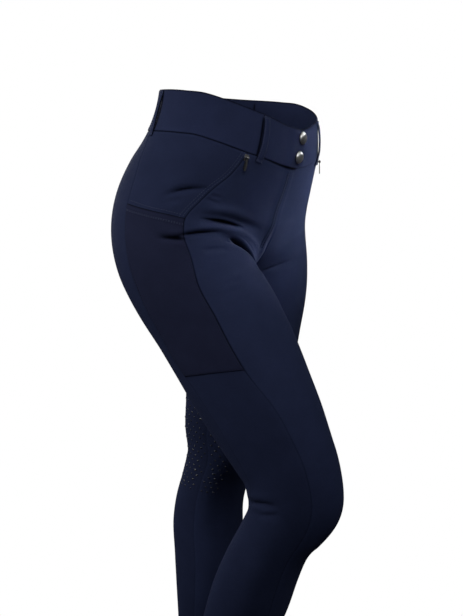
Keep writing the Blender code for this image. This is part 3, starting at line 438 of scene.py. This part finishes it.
def inner_face(side, u, v):
    """The cloth's inner face before its folds: the hip ring turns into the leg ring towards the crotch."""
    hips, leg = torso_ring(side, u, v), leg_ring(side, u, v)
    # the leg's inner line is drawn to the one crotch point that both legs share
    level = np.minimum(v, CROTCH_LEVEL)
    target = np.array(CROTCH_POINT) + np.stack([0 * level, 0 * level, CROTCH_LEVEL - level], -1)
    shift = target - leg_ring(side, 0 * u, level)
    inner = np.minimum(np.abs(u), np.abs(1 - u))
    near = np.clip(1 - inner / CROTCH_REACH_U, 0, 1) ** CROTCH_REACH_POWER
    below = np.clip((v - CROTCH_LEVEL) / CROTCH_ROUNDING, 0, 1)
    across = near * (1 - np.sqrt(1 - (1 - below) ** 2))
    along = near * (1 - ease(*INSEAM_FADE, v))
    leg += shift * np.stack([across, along, along], -1)
    # at the centre the change is a quarter round that ends level at the crotch, and elsewhere it is gradual
    k = np.clip((v - EDGE_LEVEL) / (CROTCH_LEVEL - EDGE_LEVEL), 0, 1)
    centre = 1 - (1 - k**CENTRE_POWER) ** (1 / CENTRE_POWER)
    at_centre = hump(inner, 0, CENTRE_SPREAD_U)
    share = (at_centre * centre + (1 - at_centre) * ease(*FLANK_FADE, v))[..., None]
    return hips * (1 - share) + leg * share


def outward(side, u, v):
    """Unit normals of the inner face, pointing out of the garment."""
    du, dv = 0.002, 0.5
    round_leg = v > CROTCH_LEVEL
    low, high = (np.where(round_leg, at % 1, np.clip(at, 0, 1)) for at in (u - du, u + du))
    normal = np.cross(
        inner_face(side, high, v) - inner_face(side, low, v),
        inner_face(side, u, v + dv) - inner_face(side, u, v - dv),
    ) * -side
    on_centre = ((u < TINY) | (u > 1 - TINY)) & ~round_leg
    normal[..., 0] = np.where(on_centre, 0, normal[..., 0])
    normal[on_centre & (np.abs(v - CROTCH_LEVEL) < TINY)] = (0, 0, -1)
    return unit(normal)


def bows(rows, u, v, stations, shape):
    """Sum of some folds: each runs from start past middle to end, and is strongest in the middle."""
    girth = HIP_GIRTH + (KNEE_GIRTH - HIP_GIRTH) * ease(*GIRTH_FADE, v)
    t = np.linspace(0, 1, stations)
    fade = np.sin(pi * t) ** FOLD_TAPER
    height = np.zeros(np.shape(u))
    for _, u0, v0, u1, v1, u2, v2, width, size in rows:
        line_u = (1 - t) ** 2 * u0 + 2 * t * (1 - t) * u1 + t**2 * u2
        line_v = (1 - t) ** 2 * v0 + 2 * t * (1 - t) * v1 + t**2 * v2
        reach = FOLD_REACH * width
        near = (v > line_v.min() - reach) & (v < line_v.max() + reach)
        if near.any():
            across = (u[near][:, None] - line_u) * girth[near][:, None]
            height[near] += size * shape(across, v[near][:, None] - line_v, fade, width, size, line_u, line_v)
    return height


def soft_fold(across, down, fade, width, *_):
    return np.max(fade * np.exp(-(across**2 + down**2) / width**2), axis=-1)


def crease(across, down, fade, width, size, line_u, line_v):
    """A ridge is even; a trough drops steeply from a small lip above its line, and rises softly below it."""
    if size > 0:
        return soft_fold(across, down, fade, width)
    away = across**2 + down**2
    nearest = away.argmin(1)
    pick = np.arange(len(away)), nearest
    along_u, along_v = np.gradient(line_u * HIP_GIRTH)[nearest], np.gradient(line_v)[nearest]
    side_sign = np.sign(down[pick] * along_u - across[pick] * along_v) * np.sign(along_u)
    distance = side_sign * np.sqrt(away[pick]) / width
    trough = hump(distance, 0, np.where(distance < 0, STEEP, SOFT))
    return fade[nearest] * (trough - LIP * hump(distance, -LIP_AT, LIP_WIDTH))


def fold_shade(side, u, v):
    """How dark the cloth is in its deepest troughs."""
    deep = [(*row[:-2], row[-2] * SHADE_SPREAD, row[-1]) for row in CREASES[side] if row[-1] < DEEP_CREASE]
    return FOLD_SHADE * ease(*SHADE_DEPTH, -bows(deep, u, v, CREASE_STATIONS, soft_fold))


def folds(side, u, v):
    height = BASE_SHARE * bows(FOLDS[side], u, v, FOLD_STATIONS, soft_fold)
    height += bows(CREASES[side], u, v, CREASE_STATIONS, crease)
    if side == RIGHT:
        for middle, lengthwise, width, size in FLY_FOLDS:
            height += size * between(*lengthwise, v) * hump((u - middle) * FRONT_GIRTH, 0, width)
    return height


def cloth(side, u, v):
    """Points of the folded inner face and their outward directions; u below 0 is past the centre front."""
    u, v = np.broadcast_arrays(np.asarray(u, float), np.asarray(v, float))
    found = []
    for on, at in ((-side, np.maximum(-u, 0)), (side, np.maximum(u, 0))):
        normal = outward(on, at, v)
        found.append((inner_face(on, at, v) + normal * folds(on, at, v)[..., None], normal))
    past = (u < 0)[..., None]
    return [np.where(past, *both) for both in zip(*found)]


# ---- materials

def wire(tree, node, **inputs):
    """Sets a node's inputs, named or numbered: an output is linked, and a plain value is stored."""
    for key, value in inputs.items():
        socket = node.inputs[int(key[1:]) if key[0] == "_" else key.replace("_", " ")]
        if isinstance(value, bpy.types.NodeSocket):
            tree.links.new(value, socket)
        else:
            socket.default_value = value


def add(tree, kind, output=None, setting=None, **inputs):
    """A new node with one setting and its inputs; gives the wanted output, or the node itself."""
    node = tree.nodes.new(f"ShaderNode{kind}")
    if setting:
        setattr(node, *setting)
    wire(tree, node, **inputs)
    return node if output is None else node.outputs[output]


def combine(tree, operation, a, b):
    return add(tree, "Math", 0, ("operation", operation), _0=a, _1=b)


def swing(tree, source, low, high):
    """A source from 0 to 1, spread from low to high."""
    return add(tree, "MapRange", "Result", Value=source, To_Min=low, To_Max=high)


def ramp(tree, source, *stops):
    """Colours between the two given (place, colour) stops."""
    node = add(tree, "ValToRGB", Fac=source)
    for element, (place, colour) in zip(node.color_ramp.elements, stops):
        element.position, element.color = place, (*colour, 1)
    return node.outputs["Color"]


def new_material(name):
    made = bpy.data.materials.new(name)
    made.use_nodes = True
    return made, made.node_tree, made.node_tree.nodes["Principled BSDF"]


def cloth_material(name, colour, roughness):
    """Fine twill: diagonal ribs crossed by yarns, a little mottled, with painted shade and painted highlight.
    """
    made, tree, shader = new_material(name)
    place = add(tree, "TexCoord", "UV")
    turned = add(tree, "Mapping", "Vector", Vector=place, Rotation=(0, 0, radians(TWILL_ANGLE)))
    ribs = []
    for direction, pitch, share in TWILL:
        bands = {"Scale": WAVE_UNIT / pitch, "Distortion": RIB_DISTORTION, "Detail": RIB_DETAIL}
        wave = add(tree, "TexWave", "Fac", ("bands_direction", direction), Vector=turned, **bands)
        ribs.append(combine(tree, "MULTIPLY", wave, share))
    weave = combine(tree, "ADD", *ribs)
    slub, cloud = (
        add(tree, "TexNoise", "Fac", Vector=place, Scale=scale, Detail=detail, Roughness=rough)
        for scale, detail, rough in (SLUB, CLOUD)
    )
    # tone from the mesh: painted shade in seams, creases and under overlaps, and a painted highlight beside
    # seams
    painted_shading = combine(tree, "ADD", add(tree, "Attribute", "Fac", ("attribute_name", "tone")), 1.0)
    bright = swing(tree, slub, *SLUB_SWING)
    for factor in (swing(tree, cloud, *CLOUD_SWING), swing(tree, weave, *WEAVE_SWING), painted_shading):
        bright = combine(tree, "MULTIPLY", bright, factor)
    raised = combine(tree, "MULTIPLY", weave, swing(tree, slub, *YARN_SWING))
    wire(
        tree,
        shader,
        Base_Color=add(tree, "VectorMath", "Vector", ("operation", "SCALE"), _0=colour, Scale=bright),
        Roughness=swing(tree, slub, roughness - ROUGHNESS_SWING, roughness + ROUGHNESS_SWING),
        Sheen_Weight=SHEEN,
        Sheen_Roughness=SHEEN_ROUGHNESS,
        Sheen_Tint=SHEEN_TINT,
        Specular_IOR_Level=CLOTH_LEVEL,
        Normal=add(tree, "Bump", "Normal", Strength=TWILL_BUMP, Distance=TWILL_RELIEF, Height=raised),
    )
    return made


def trim_material(name, colour, dark, roughness, scale=420.0, relief=0.00004, level=None):
    """Plated metal with fine scratches and a duller film; or, with a level, uneven thread or rubber."""
    made, tree, shader = new_material(name)
    detail, (start, end), (glossier, duller), strength = METAL_GRAIN if level is None else PLAIN_GRAIN
    place = add(tree, "TexCoord", "Object")
    grain = add(tree, "TexNoise", "Fac", Vector=place, Scale=scale, Detail=detail)
    if level is None:
        stretched = add(tree, "Mapping", "Vector", Vector=place, Scale=SCRATCH_STRETCH)
        height = add(tree, "TexNoise", "Fac", Vector=stretched, Scale=SCRATCH_SCALE, Detail=SCRATCH_DETAIL)
        gloss = {"Metallic": 1.0}
    else:
        height, gloss = grain, {"Specular_IOR_Level": level}
    wire(
        tree,
        shader,
        Base_Color=ramp(tree, grain, (start, dark), (end, colour)),
        Roughness=swing(tree, grain, roughness + glossier, roughness + duller),
        Normal=add(tree, "Bump", "Normal", Strength=strength, Distance=relief, Height=height),
        **gloss,
    )
    return made


LOOKS = {name: cloth_material(name, *values) for name, values in FABRICS.items()}
LOOKS.update((name, trim_material(name, *values)) for name, values in TRIMS.items())


# ---- meshes

def in_scene(name, data):
    made = bpy.data.objects.new(name, data)
    bpy.context.scene.collection.objects.link(made)
    return made


def finish_mesh(name, points, faces, look, sharp=40):
    """A smooth-shaded mesh object from points in millimetres, riding on the garment."""
    mesh = bpy.data.meshes.new(name)
    mesh.from_pydata((np.asarray(points) * METRES).tolist(), [], faces)
    mesh.update()
    mesh.shade_smooth()
    mesh.set_sharp_from_angle(angle=radians(sharp))
    mesh.materials.append(LOOKS[look])
    made = in_scene(name, mesh)
    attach(made, "garment")
    return made


def arc_lengths(points, axis):
    """Distance along a grid's rows or columns, from its first point."""
    steps = np.linalg.norm(np.diff(points, axis=axis), axis=-1)
    pad = [(0, 0), (0, 0)]
    pad[axis] = (1, 0)
    return np.pad(np.cumsum(steps, axis=axis), pad)


def draw_in(points, amount):
    """The grid with each of its four borders moved inward."""
    moved = points.copy()
    for order in ((1, 0, 2), (0, 1, 2)):
        grid, borders = points.transpose(order), moved.transpose(order)
        for border, inner in ((0, 1), (-1, -2)):
            borders[border] += unit(grid[inner] - grid[border]) * amount
    return moved


def shell(name, points, normals, low, high, fabric, tone):
    """A closed cloth shell over a grid of points, from low to high above it; sewing reads its outer grid."""
    points = draw_in(points, SEAM_SLIT / 2)
    shape = points.shape[:2]
    outer, inner = (points + normals * np.broadcast_to(height, shape)[..., None] for height in (high, low))
    count, middle = shape[0] * shape[1], shape[1] // 2
    number = np.arange(count).reshape(shape)
    front = np.stack([number[:-1, :-1], number[:-1, 1:], number[1:, 1:], number[1:, :-1]], -1).reshape(-1, 4)
    ring = np.concatenate([number[0, :], number[1:, -1], number[-1, -2::-1], number[-2:0:-1, 0]])
    following = np.roll(ring, -1)
    border = np.stack([ring, ring + count, following + count, following], -1)
    faces = np.concatenate([front, front[:, ::-1] + count, border])
    if np.dot(np.cross(outer[1, 1] - outer[0, 0], outer[1, 0] - outer[0, 1]), normals[0, 0]) < 0:
        faces = faces[:, ::-1]
    GRIDS[name] = outer, normals
    grid = np.concatenate([outer, inner]).reshape(-1, 3)
    made = finish_mesh(f"cloth_{name}", grid, faces.tolist(), fabric)
    mesh = made.data
    across, down = arc_lengths(outer, 1), arc_lengths(outer, 0)
    uv = np.stack([across - across[:, middle, None], 0 * across + down[:, middle, None]], -1)
    uv = np.tile(uv.reshape(-1, 2), (2, 1)).astype(np.float32)
    corners = np.zeros(len(mesh.loops), np.int32)
    mesh.loops.foreach_get("vertex_index", corners)
    mesh.uv_layers.new(name="cloth").data.foreach_set("uv", uv[corners].ravel())
    # tone is painted shade and painted highlight, multiplied into the cloth's colour
    tone = np.tile(np.maximum(np.broadcast_to(tone, shape), DARKEST).ravel(), 2).astype(np.float32)
    mesh.attributes.new("tone", "FLOAT", "POINT").data.foreach_set("value", tone)
    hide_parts(name)


def circle(across, ahead, sides):
    turns = np.arange(sides) * 2 * pi / sides
    return np.outer(np.cos(turns), across) + np.outer(np.sin(turns), ahead)


def stack_rings(points, faces, rings, tip=None):
    """Adds a closed solid: rings of points one above the other, with a face at each end or a tip at last."""
    first, sides = len(points), len(rings[0])
    last = first + (len(rings) - 1) * sides
    steps = [(k, (k + 1) % sides) for k in range(sides)]
    for ring in rings:
        points.extend(tuple(point) for point in ring)
    for a in range(first, last, sides):
        faces.extend((a + k, a + n, a + sides + n, a + sides + k) for k, n in steps)
    if tip is not None:
        points.append(tuple(tip))
        faces.extend((last + k, last + n, len(points) - 1) for k, n in steps)
    faces.append(tuple(first + k for k in reversed(range(sides))))
    if tip is None:
        faces.append(tuple(last + k for k in range(sides)))


# ---- panels

def panel_rows():
    """v of every panel row at the four verticals, and the number of the row at each level."""
    before, levels, count, numbers = np.array(TOP_ROW, float), [[TOP_ROW]], 0, {}
    for name, (after, steps, close_start, close_stop) in ROWS.items():
        length = after - before
        close = EDGE_STEPS[:, None] / length
        low = close[-1] if close_start else 0.0
        high = 1 - close[-1] if close_stop else 1.0
        share = [low + (high - low) * np.linspace(0, 1, steps + 1)[:, None] + 0 * length]
        if close_start:
            share.insert(0, close[:-1])
        if close_stop:
            share.append(1 - close[-2::-1])
        levels.append(before + length * np.concatenate(share)[1:])
        before = np.array(after, float)
        count += len(levels[-1])
        numbers[name] = count
    return np.concatenate(levels).T, numbers


def grid_between(side, start_u, start_v, end_u, end_v, count):
    """u and v across a panel, with close columns beside both of its long edges."""
    def across(share):
        ends = (start_u, end_u), (start_v, end_v)
        return [start[:, None] + (end - start)[:, None] * share for start, end in ends]

    rough = np.linspace(0, 1, ROUGH_COLUMNS)
    width = arc_lengths(cloth(side, *across(rough))[0], 1)[:, -1:]
    close = EDGE_STEPS / width
    last = close[:, -1:]
    even = last + (1 - 2 * last) * np.linspace(0, 1, count + 1)[1:-1]
    return across(np.concatenate([close, even, 1 - close[:, ::-1]], 1))


def clear_of_middle(side, points, normals, v):
    """Below the crotch, each leg's cloth keeps half the sewn gap clear of the middle plane."""
    outer = side * (points + normals * PANEL_WALL)[..., 0]
    short = np.maximum(SEWN_GAP / 2 - np.minimum(outer, side * points[..., 0]), 0)
    points = points.copy()
    points[..., 0] += side * np.where(v >= CROTCH_LEVEL, short, 0)
    return points


def edge_distance(points, *edges):
    """Millimetres from each grid point to the nearest of the named borders."""
    across, down = arc_lengths(points, 1), arc_lengths(points, 0)
    found = {"start": across, "end": across[:, -1:] - across, "top": down, "bottom": down[-1:] - down}
    return np.min([found[name] for name in edges], 0)


def seam_relief(distance):
    """A seam's dip and the roll beside it."""
    return hump(distance, *SEAM_ROLL) - hump(distance, *SEAM_DIP)


# Painted highlight beside a seam, less the painted shade in its groove
def seam_tone(distance):
    return hump(distance, *SEAM_HIGHLIGHT) - hump(distance, *SEAM_SHADE)


def hem_relief(distance, height, depth, rounding):
    """A turned hem stands a little proud, up to its row of stitches."""
    proud = 1 - ease(depth - HEM_SLOPE, depth + HEM_SLOPE, distance)
    return height * proud - hump(distance, *rounding)


def fly_lift(u, v):
    """How far the fly's top layer stands off the cloth below it."""
    return (PANEL_WALL + SEWN_GAP) * (1 - ease(*FLY_LIFT_U, u)) * (1 - ease(*FLY_LIFT_FADE, v))


def fly_thinning(u, v):
    """How much thinner the fly's top layer is near its edge, so that the lap hardly shows."""
    from_edge = (u - u[:, :1]) * FRONT_GIRTH
    return (PANEL_WALL - FLY_THIN) * (1 - ease(0, FLY_SLOPE, from_edge)) * (1 - ease(*FLY_LIFT_FADE, v))


def fly_furrows(u, v):
    """How dark the cloth is along the fly's rows of stitches."""
    line_u, line_v = np.array(FLY_STITCHING).T
    away = (u - curve(line_v, line_u, v)) * FRONT_GIRTH
    furrows = sum(hump(away, at, FLY_FURROW_WIDTH) for at in FLY_ROWS)
    return FLY_FURROW * between(*FLY_FURROW_FADE, v) * furrows


def under_band(u, distance):
    """How dark it is under the waistband's lower edge near the fly, where the edge stands proud."""
    return hump(distance, *UNDER_BAND_SHADE) * (1 - ease(*UNDER_BAND_FADE_U, u))


def panel(part, side, u, v, edges):
    """A panel of the leg; the right front one has the fly's top layer."""
    points, normals = cloth(side, u, v)
    points = clear_of_middle(side, points, normals, v)
    relief, tone = 0, 0
    for edge, (above, below) in edges.items():
        near = edge_distance(points, edge)
        strength = above + (below - above) * ease(*SEAM_FADE, v)
        relief = relief + strength * seam_relief(near)
        tone = tone + strength * seam_tone(near)
    lift, thinned, shade = 0.0, 0.0, 0.0
    if (part, side) == ("front", RIGHT):
        lift, thinned = fly_lift(u, v), fly_thinning(u, v)
        shade = fly_furrows(u, v) + under_band(u, v - v[:1])
    high = lift + PANEL_WALL + relief + hem_relief(edge_distance(points, "bottom"), *LEG_HEM) - thinned
    tone = tone - fold_shade(side, u, v) - shade
    shell(f"{part}_{SIDE_NAMES[side]}", points, normals, lift + INNER_FACE, high, f"{part} cloth", tone)


def pocket(side, u, v):
    """The patch pocket on the side panel: puffed, with a turned hem and a mouth that stands open a little."""
    points, normals = cloth(side, u, v)
    sewn, top = edge_distance(points, "start", "end", "bottom"), edge_distance(points, "top")
    down, across = (np.sin(np.linspace(0, pi, count)) for count in points.shape[:2])
    puff = POCKET_PUFF * across ** PUFF_POWERS[0] * down[:, None] ** PUFF_POWERS[1]
    gape = POCKET_GAPE * across**GAPE_POWER * hump(top, 0, POCKET_GAPE_LENGTH)
    relief = seam_relief(sewn) - hump(sewn, *POCKET_FURROW) + puff + gape + hem_relief(top, *POCKET_HEM)
    low, high = PANEL_WALL + SEWN_GAP + puff + gape, PANEL_WALL + POCKET_WALL + relief
    tone = seam_tone(sewn) - hump(top, *POCKET_EDGE_SHADE) - fold_shade(side, u, v)
    shell(f"thigh_pocket_{SIDE_NAMES[side]}", points, normals, low, high, "pocket cloth", tone)


def leg_panels(side):
    """The front, side and back panels between a leg's four verticals, and the pocket on the side one."""
    front_u, rear_u = columns(SEAMS, LEVELS[1])[0], columns(SEAMS, LEVELS[2])[1]
    lap = FLY_LAP / FRONT_GIRTH * (1 - ease(*FLY_LAP_FADE, LEVELS[0])) if side == RIGHT else 0 * front_u
    verticals = (-lap, front_u, rear_u, 1 + 0 * rear_u)
    seams = (FLY_EDGE[side], FRONT_SEAM_EDGE, REAR_SEAM_EDGE, SEAT_SEAM_EDGE)
    for k, (part, count) in enumerate(PANEL_COLUMNS.items()):
        u, v = grid_between(side, verticals[k], LEVELS[k], verticals[k + 1], LEVELS[k + 1], count)
        panel(part, side, u, v, {"start": seams[k], "end": seams[k + 1], "top": WAIST_EDGE})
        if part == "side":
            patch = slice(ROW_NUMBERS["pocket opening"], ROW_NUMBERS["pocket bottom"] + 1)
            pocket(side, u[patch], v[patch])


# ---- waistband and belt loops

def band(name, sides, u, lapping=False):
    """A stretch of waistband with a rounded top edge; the lapping end lies over the other, and leans."""
    even = np.linspace(BAND_EDGE[-1], 1 - BAND_EDGE[-1], BAND_ROWS)[1:-1]
    share = np.concatenate([BAND_EDGE, even, 1 - BAND_EDGE[::-1]])
    v = share[:, None] * (BAND_HEIGHT - BAND_TAPER * (1 - np.clip(u / BAND_TAPER_END_U, 0, 1)))
    lean = (LAP_LEAN if lapping else 0.0) / FRONT_GIRTH
    leans = lean * (1 - ease(0, LAP_LEAN_FADE, (u - u[0]) * FRONT_GIRTH))
    stretch = [cloth(side, at + leans[k] * share, v[:, k]) for k, (side, at) in enumerate(zip(sides, u))]
    points, normals = (np.stack(each, 1) for each in zip(*stretch))
    top, low, ends = (edge_distance(points, *edges) for edges in (("top",), ("bottom",), ("start", "end")))
    rounding = hump(top, *BAND_ROUNDING)
    relief = BAND_CROWN * np.sin(share * pi)[:, None] ** BAND_CROWN_POWER
    relief = relief + seam_relief(low) - rounding - hump(ends, *EDGE_ROUNDING)
    shade = sum(hump((u - at) * FRONT_GIRTH, 0, LOOP_SHADE_WIDTH) for at in LOOP_SHADE_U)
    shade = LOOP_SHADE * shade * between(*LOOP_SHADE_FADE, v)
    lift = 0.0
    if lapping:
        lift = (BAND_WALL + GAP) * (1 - ease(*BAND_LIFT_U, u))
        shade = shade + hump(edge_distance(points, "start"), *LAP_END_SHADE) + under_band(u, low)
    tone = seam_tone(low) - hump(top, *EDGE_SHADE) - shade
    inside = lift + INNER_FACE + rounding * BAND_ROUNDING_INSIDE
    shell(f"waistband_{name}", points, normals, inside, lift + BAND_WALL + relief, "waistband cloth", tone)


def waistband():
    count = round((1 - BAND_JOIN_U) * FRONT_GIRTH / BAND_STEP)
    near_loops = np.add.outer(LOOP_SHADE_U, LOOP_SHADE_STEPS / FRONT_GIRTH).ravel()
    half = np.union1d(np.linspace(BAND_JOIN_U, 1, count), near_loops)
    band("back", [RIGHT] * len(half) + [LEFT] * (len(half) - 1), np.concatenate([half, half[-2::-1]]))
    start = -BAND_LAP / FRONT_GIRTH
    u = np.linspace(start, BAND_JOIN_U, BAND_END_COLUMNS)[1:]
    u = np.sort(np.concatenate([start + BAND_END_STEPS / FRONT_GIRTH, u]))
    for side, name in SIDE_NAMES.items():
        band(f"front_{name}", [side] * len(u), u, lapping=side == RIGHT)


def belt_loop(side, place):
    """A folded strap, sewn down at its two ends and bowed clear of the waistband between them."""
    v = np.linspace(LOOP_PROFILE[0][0], LOOP_PROFILE[-1][0], LOOP_ROWS)
    height = dict(zip(LOOP_U, columns(LOOP_PROFILE, v)))[place]
    half = LOOP_WIDTH / 2 / FRONT_GIRTH
    points, normals = cloth(side, LOOP_U[place] + half * LOOP_SHARE, v[:, None])
    from_edge = 1 - np.abs(LOOP_SHARE)
    crown = LOOP_CROWN * (1 - LOOP_SHARE**2) - hump(from_edge, *LOOP_ROUNDING)
    furrow = hump(np.abs(LOOP_SHARE) * LOOP_WIDTH / 2, *LOOP_FURROW)
    low = (BAND_WALL + GAP + height)[:, None]
    high = low + LOOP_WALL - LOOP_THIN + crown - furrow
    name = f"belt_loop_{place}_{SIDE_NAMES[side]}"
    shell(name, points, normals, low, high, "loop cloth", -hump(from_edge, *LOOP_EDGE_SHADE))


# ---- sewing

def offset_line(name, border, distance, stop=1.0):
    """Points and normals on a shell's outer face, a distance in from one border, as far as a share of it."""
    points, normals = GRIDS[name]
    if border in ("top", "bottom"):
        points, normals = points.transpose(1, 0, 2), normals.transpose(1, 0, 2)
    if border in ("end", "bottom"):
        points, normals = points[:, ::-1], normals[:, ::-1]
    along = arc_lengths(points, 1)
    rows = np.arange(len(points))
    i = np.array([np.clip(np.searchsorted(row, distance) - 1, 0, len(row) - 2) for row in along])
    low, high = along[rows, i], along[rows, i + 1]
    t = ((distance - low) / np.maximum(high - low, TINY))[:, None]
    line, turned = (grid[rows, i] * (1 - t) + grid[rows, i + 1] * t for grid in (points, normals))
    last = round(stop * (len(rows) - 1))
    return line[: last + 1], unit(turned)[: last + 1]


def sewn_path(side, path, slack=0.0):
    """Points and normals along a smooth line through (u, v) places on the cloth, shifted across by slack."""
    at = np.linspace(0, len(path) - 1, PATH_POINTS)
    u, v = (curve(np.arange(len(path)), places, at) for places in np.array(path).T)
    u = u + slack / FRONT_GIRTH
    points, normals = cloth(side, u, v)
    return points + normals * (PANEL_WALL + fly_lift(u, v))[..., None], normals


def sew(name, lines, thread="thread", stitch=STITCH):
    """Stitches along lines of points and normals: short threads that dip into the cloth at both ends."""
    points, faces = [], []
    pitch, length, radius = stitch
    for line, normals in lines:
        along = np.concatenate([[0], np.cumsum(np.linalg.norm(np.diff(line, axis=0), axis=1))])
        centres = np.arange(pitch / 2, along[-1], pitch)

        def read(values, at):
            return np.stack([np.interp(at, along, values[:, k]) for k in range(3)], -1)

        for centre, up in zip(centres, unit(read(normals, centres))):
            ends = read(line, np.array([centre - length / 2, centre + length / 2]))
            ahead = unit(ends[1] - ends[0])
            around = circle(unit(np.cross(ahead, up)), up, STITCH_SIDES)
            rings = [
                ends.mean(0) + ahead * share * length + up * height * radius + around * thick * radius
                for share, thick, height in STITCH_SHAPE
            ]
            stack_rings(points, faces, rings)
    finish_mesh(f"stitches_{name}", points, faces, thread, sharp=80)


def sew_breeches():
    def rows(name, distances, *borders):
        return [offset_line(name, border, at) for border in borders for at in distances]

    fly = [sewn_path(RIGHT, FLY_STITCHING, slack) for slack in FLY_ROWS]
    sew("fly", fly, "dark thread", FLY_STITCH)
    for side, name in SIDE_NAMES.items():
        panel_name, pocket_name = f"side_{name}", f"thigh_pocket_{name}"
        stop = ROW_NUMBERS["pocket opening"] / (len(GRIDS[panel_name][0]) - 1)
        slant = [offset_line(panel_name, "start", at, stop) for at in SLANT_ROWS]
        sew(panel_name, slant + [sewn_path(side, POCKET_TOP_STITCHING)], stitch=SLANT_STITCH)
        sewn = rows(pocket_name, POCKET_ROWS, "start", "end", "bottom")
        sew(pocket_name, sewn, "dark thread")
        hem = rows(pocket_name, POCKET_HEM_ROWS, "top")
        sew(f"{pocket_name}_hem", hem, stitch=SLANT_STITCH)
        for part in PANEL_COLUMNS:
            sew(f"hem_{part}_{name}", rows(f"{part}_{name}", LEG_HEM_ROWS, "bottom"))
        for place in LOOP_U:
            loop = f"belt_loop_{place}_{name}"
            lines = rows(loop, LOOP_SIDE_ROWS, "start", "end") + rows(loop, LOOP_TACK_ROWS, "top", "bottom")
            sew(loop, lines, stitch=LOOP_STITCH)


# ---- rubber drops, press studs and zips

def grip_drops(side):
    """Staggered rows of rubber drops on the cloth inside the knee; a few are long."""
    points, faces = [], []
    chance = np.random.default_rng(DROP_SEED + side)
    first, last, step = DROP_COLUMNS
    for row, v in enumerate(np.arange(*DROP_ROWS)):
        for across in np.arange(first + step / 2 * (row % 2), last, step):
            shift = chance.normal(0, DROP_JITTER, 2)
            long = DROP_LONG if chance.random() < DROP_LONG_SHARE else 1.0
            radius = DROP_RADIUS * chance.uniform(*DROP_SPREAD)
            if abs(across) < DROP_OFF_SEAM + radius * long:
                continue
            u = ((across + shift[0]) / KNEE_GIRTH) % 1.0
            point, normal = cloth(side, np.array([u]), np.array([v + shift[1]]))
            up = unit(normal[0])
            level = unit(np.cross(up, (0.0, 0.0, 1.0)))
            centre = point[0] + up * (PANEL_WALL - DROP_SUNK)
            around = circle(level * long, np.cross(up, level), DROP_SIDES)
            *rings, tip = (
                centre + around * share * radius + up * height * radius for share, height in DROP_SHAPE
            )
            stack_rings(points, faces, rings, tip[0])
    finish_mesh(f"grip_drops_{SIDE_NAMES[side]}", points, faces, "grip rubber", sharp=70)


def press_stud(name, u, v):
    """A cap, and a dark ring round its foot painted as its shadow on the cloth, turned round the line out of
    the cloth.
    """
    point, normal = cloth(RIGHT, np.array([u]), np.array([v]))
    out = Vector(normal[0])
    across = Vector((0, 0, -1)).cross(out).normalized()
    place = Matrix((across, out.cross(across), out)).transposed().to_4x4()
    place.translation = Vector(point[0]) + out * (2 * (BAND_WALL + GAP))
    turns = [2 * pi * i / STUD_SIDES for i in range(STUD_SIDES)]
    for piece, profile, metal in (("cap", CAP_PROFILE, "stud metal"), ("rim", SHADOW_RING_PROFILE, "stud shadow ring")):
        *rings, tip = [
            [place @ Vector((radius * cos(angle), radius * sin(angle), height)) for angle in turns]
            for radius, height in profile
        ]
        points, faces = [], []
        stack_rings(points, faces, rings, tip[0])
        made = finish_mesh(f"{piece}_{name}", points, faces, metal, sharp=60)
        if piece == "cap":
            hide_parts(f"press_stud_{name}")


# ---- stage, light and camera

def stage():
    """A pale floor that only the camera sees, and a soft sky behind the camera's plain white backdrop."""
    mesh = bpy.data.meshes.new("floor")
    corners = ((-1, -1), (1, -1), (1, 1), (-1, 1))
    mesh.from_pydata([(x * FLOOR_HALF, y * FLOOR_HALF, FLOOR_LEVEL) for x, y in corners], [], [(0, 1, 2, 3)])
    pale, tree, _ = new_material("pale floor")
    tree.nodes.clear()
    add(tree, "OutputMaterial", Surface=add(tree, "Emission", 0, Strength=1.0))
    mesh.materials.append(pale)
    floor = in_scene("floor", mesh)
    for flag in ("visible_diffuse", "visible_glossy", "visible_transmission", "visible_shadow"):
        setattr(floor, flag, False)
    world = bpy.data.worlds.new("soft studio")
    bpy.context.scene.world = world
    world.use_nodes = True
    tree = world.node_tree
    tree.nodes.clear()
    up = add(tree, "SeparateXYZ", "Z", _0=add(tree, "TexCoord", "Generated"))
    height = add(tree, "MapRange", "Result", Value=up, From_Min=-1.0)
    sky = ramp(tree, height, (0.0, SKY_LOW), (1.0, SKY_HIGH))
    soft = add(tree, "Background", 0, Color=sky, Strength=SKY_STRENGTH)
    plain = add(tree, "Background", 0, Color=(1, 1, 1, 1))
    seen = add(tree, "LightPath", "Is Camera Ray")
    add(tree, "OutputWorld", Surface=add(tree, "MixShader", 0, _0=seen, _1=soft, _2=plain))


def area_light(name, direction, aim, distance, size, power, spread):
    data = bpy.data.lights.new(name, "AREA")
    data.shape, data.energy, data.spread = "RECTANGLE", power, radians(spread)
    data.size, data.size_y = size
    right, back, up = direction
    towards = (ACROSS_VIEW * right + BEHIND_CAMERA * back + Vector((0, 0, up))).normalized()
    lamp = in_scene(name, data)
    lamp.location = Vector(aim) + towards * distance
    lamp.rotation_euler = towards.to_track_quat("Z", "Y").to_euler()


def camera():
    data = bpy.data.cameras.new("camera")
    data.lens, data.sensor_width = LENS, SENSOR_WIDTH
    data.clip_start, data.clip_end = CLIPPING
    made = in_scene("camera", data)
    made.location = Vector(CAMERA_AIM) * METRES + BEHIND_CAMERA * CAMERA_DISTANCE
    made.rotation_euler = (pi / 2 - radians(CAMERA_PITCH), 0, AZIMUTH)
    bpy.context.scene.camera = made


# ---- the dressed breeches

LEVELS, ROW_NUMBERS = panel_rows()
waistband()
for side in (RIGHT, LEFT):
    leg_panels(side)
    for place in LOOP_U:
        belt_loop(side, place)
sew_breeches()
for side in (RIGHT, LEFT):
    grip_drops(side)
for stud in STUDS:
    press_stud(*stud)
for side in ("right", "left"):
    for part, metal in (("zip_slider", "zip metal"), ("zip_pull", "pull metal")):
        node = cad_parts[f"{part}_{side}"]
        node.data.materials.clear()
        node.data.materials.append(LOOKS[metal])

stage()
for light in LIGHTS:
    area_light(*light)
camera()
bpy.context.scene.view_settings.view_transform = "Standard"
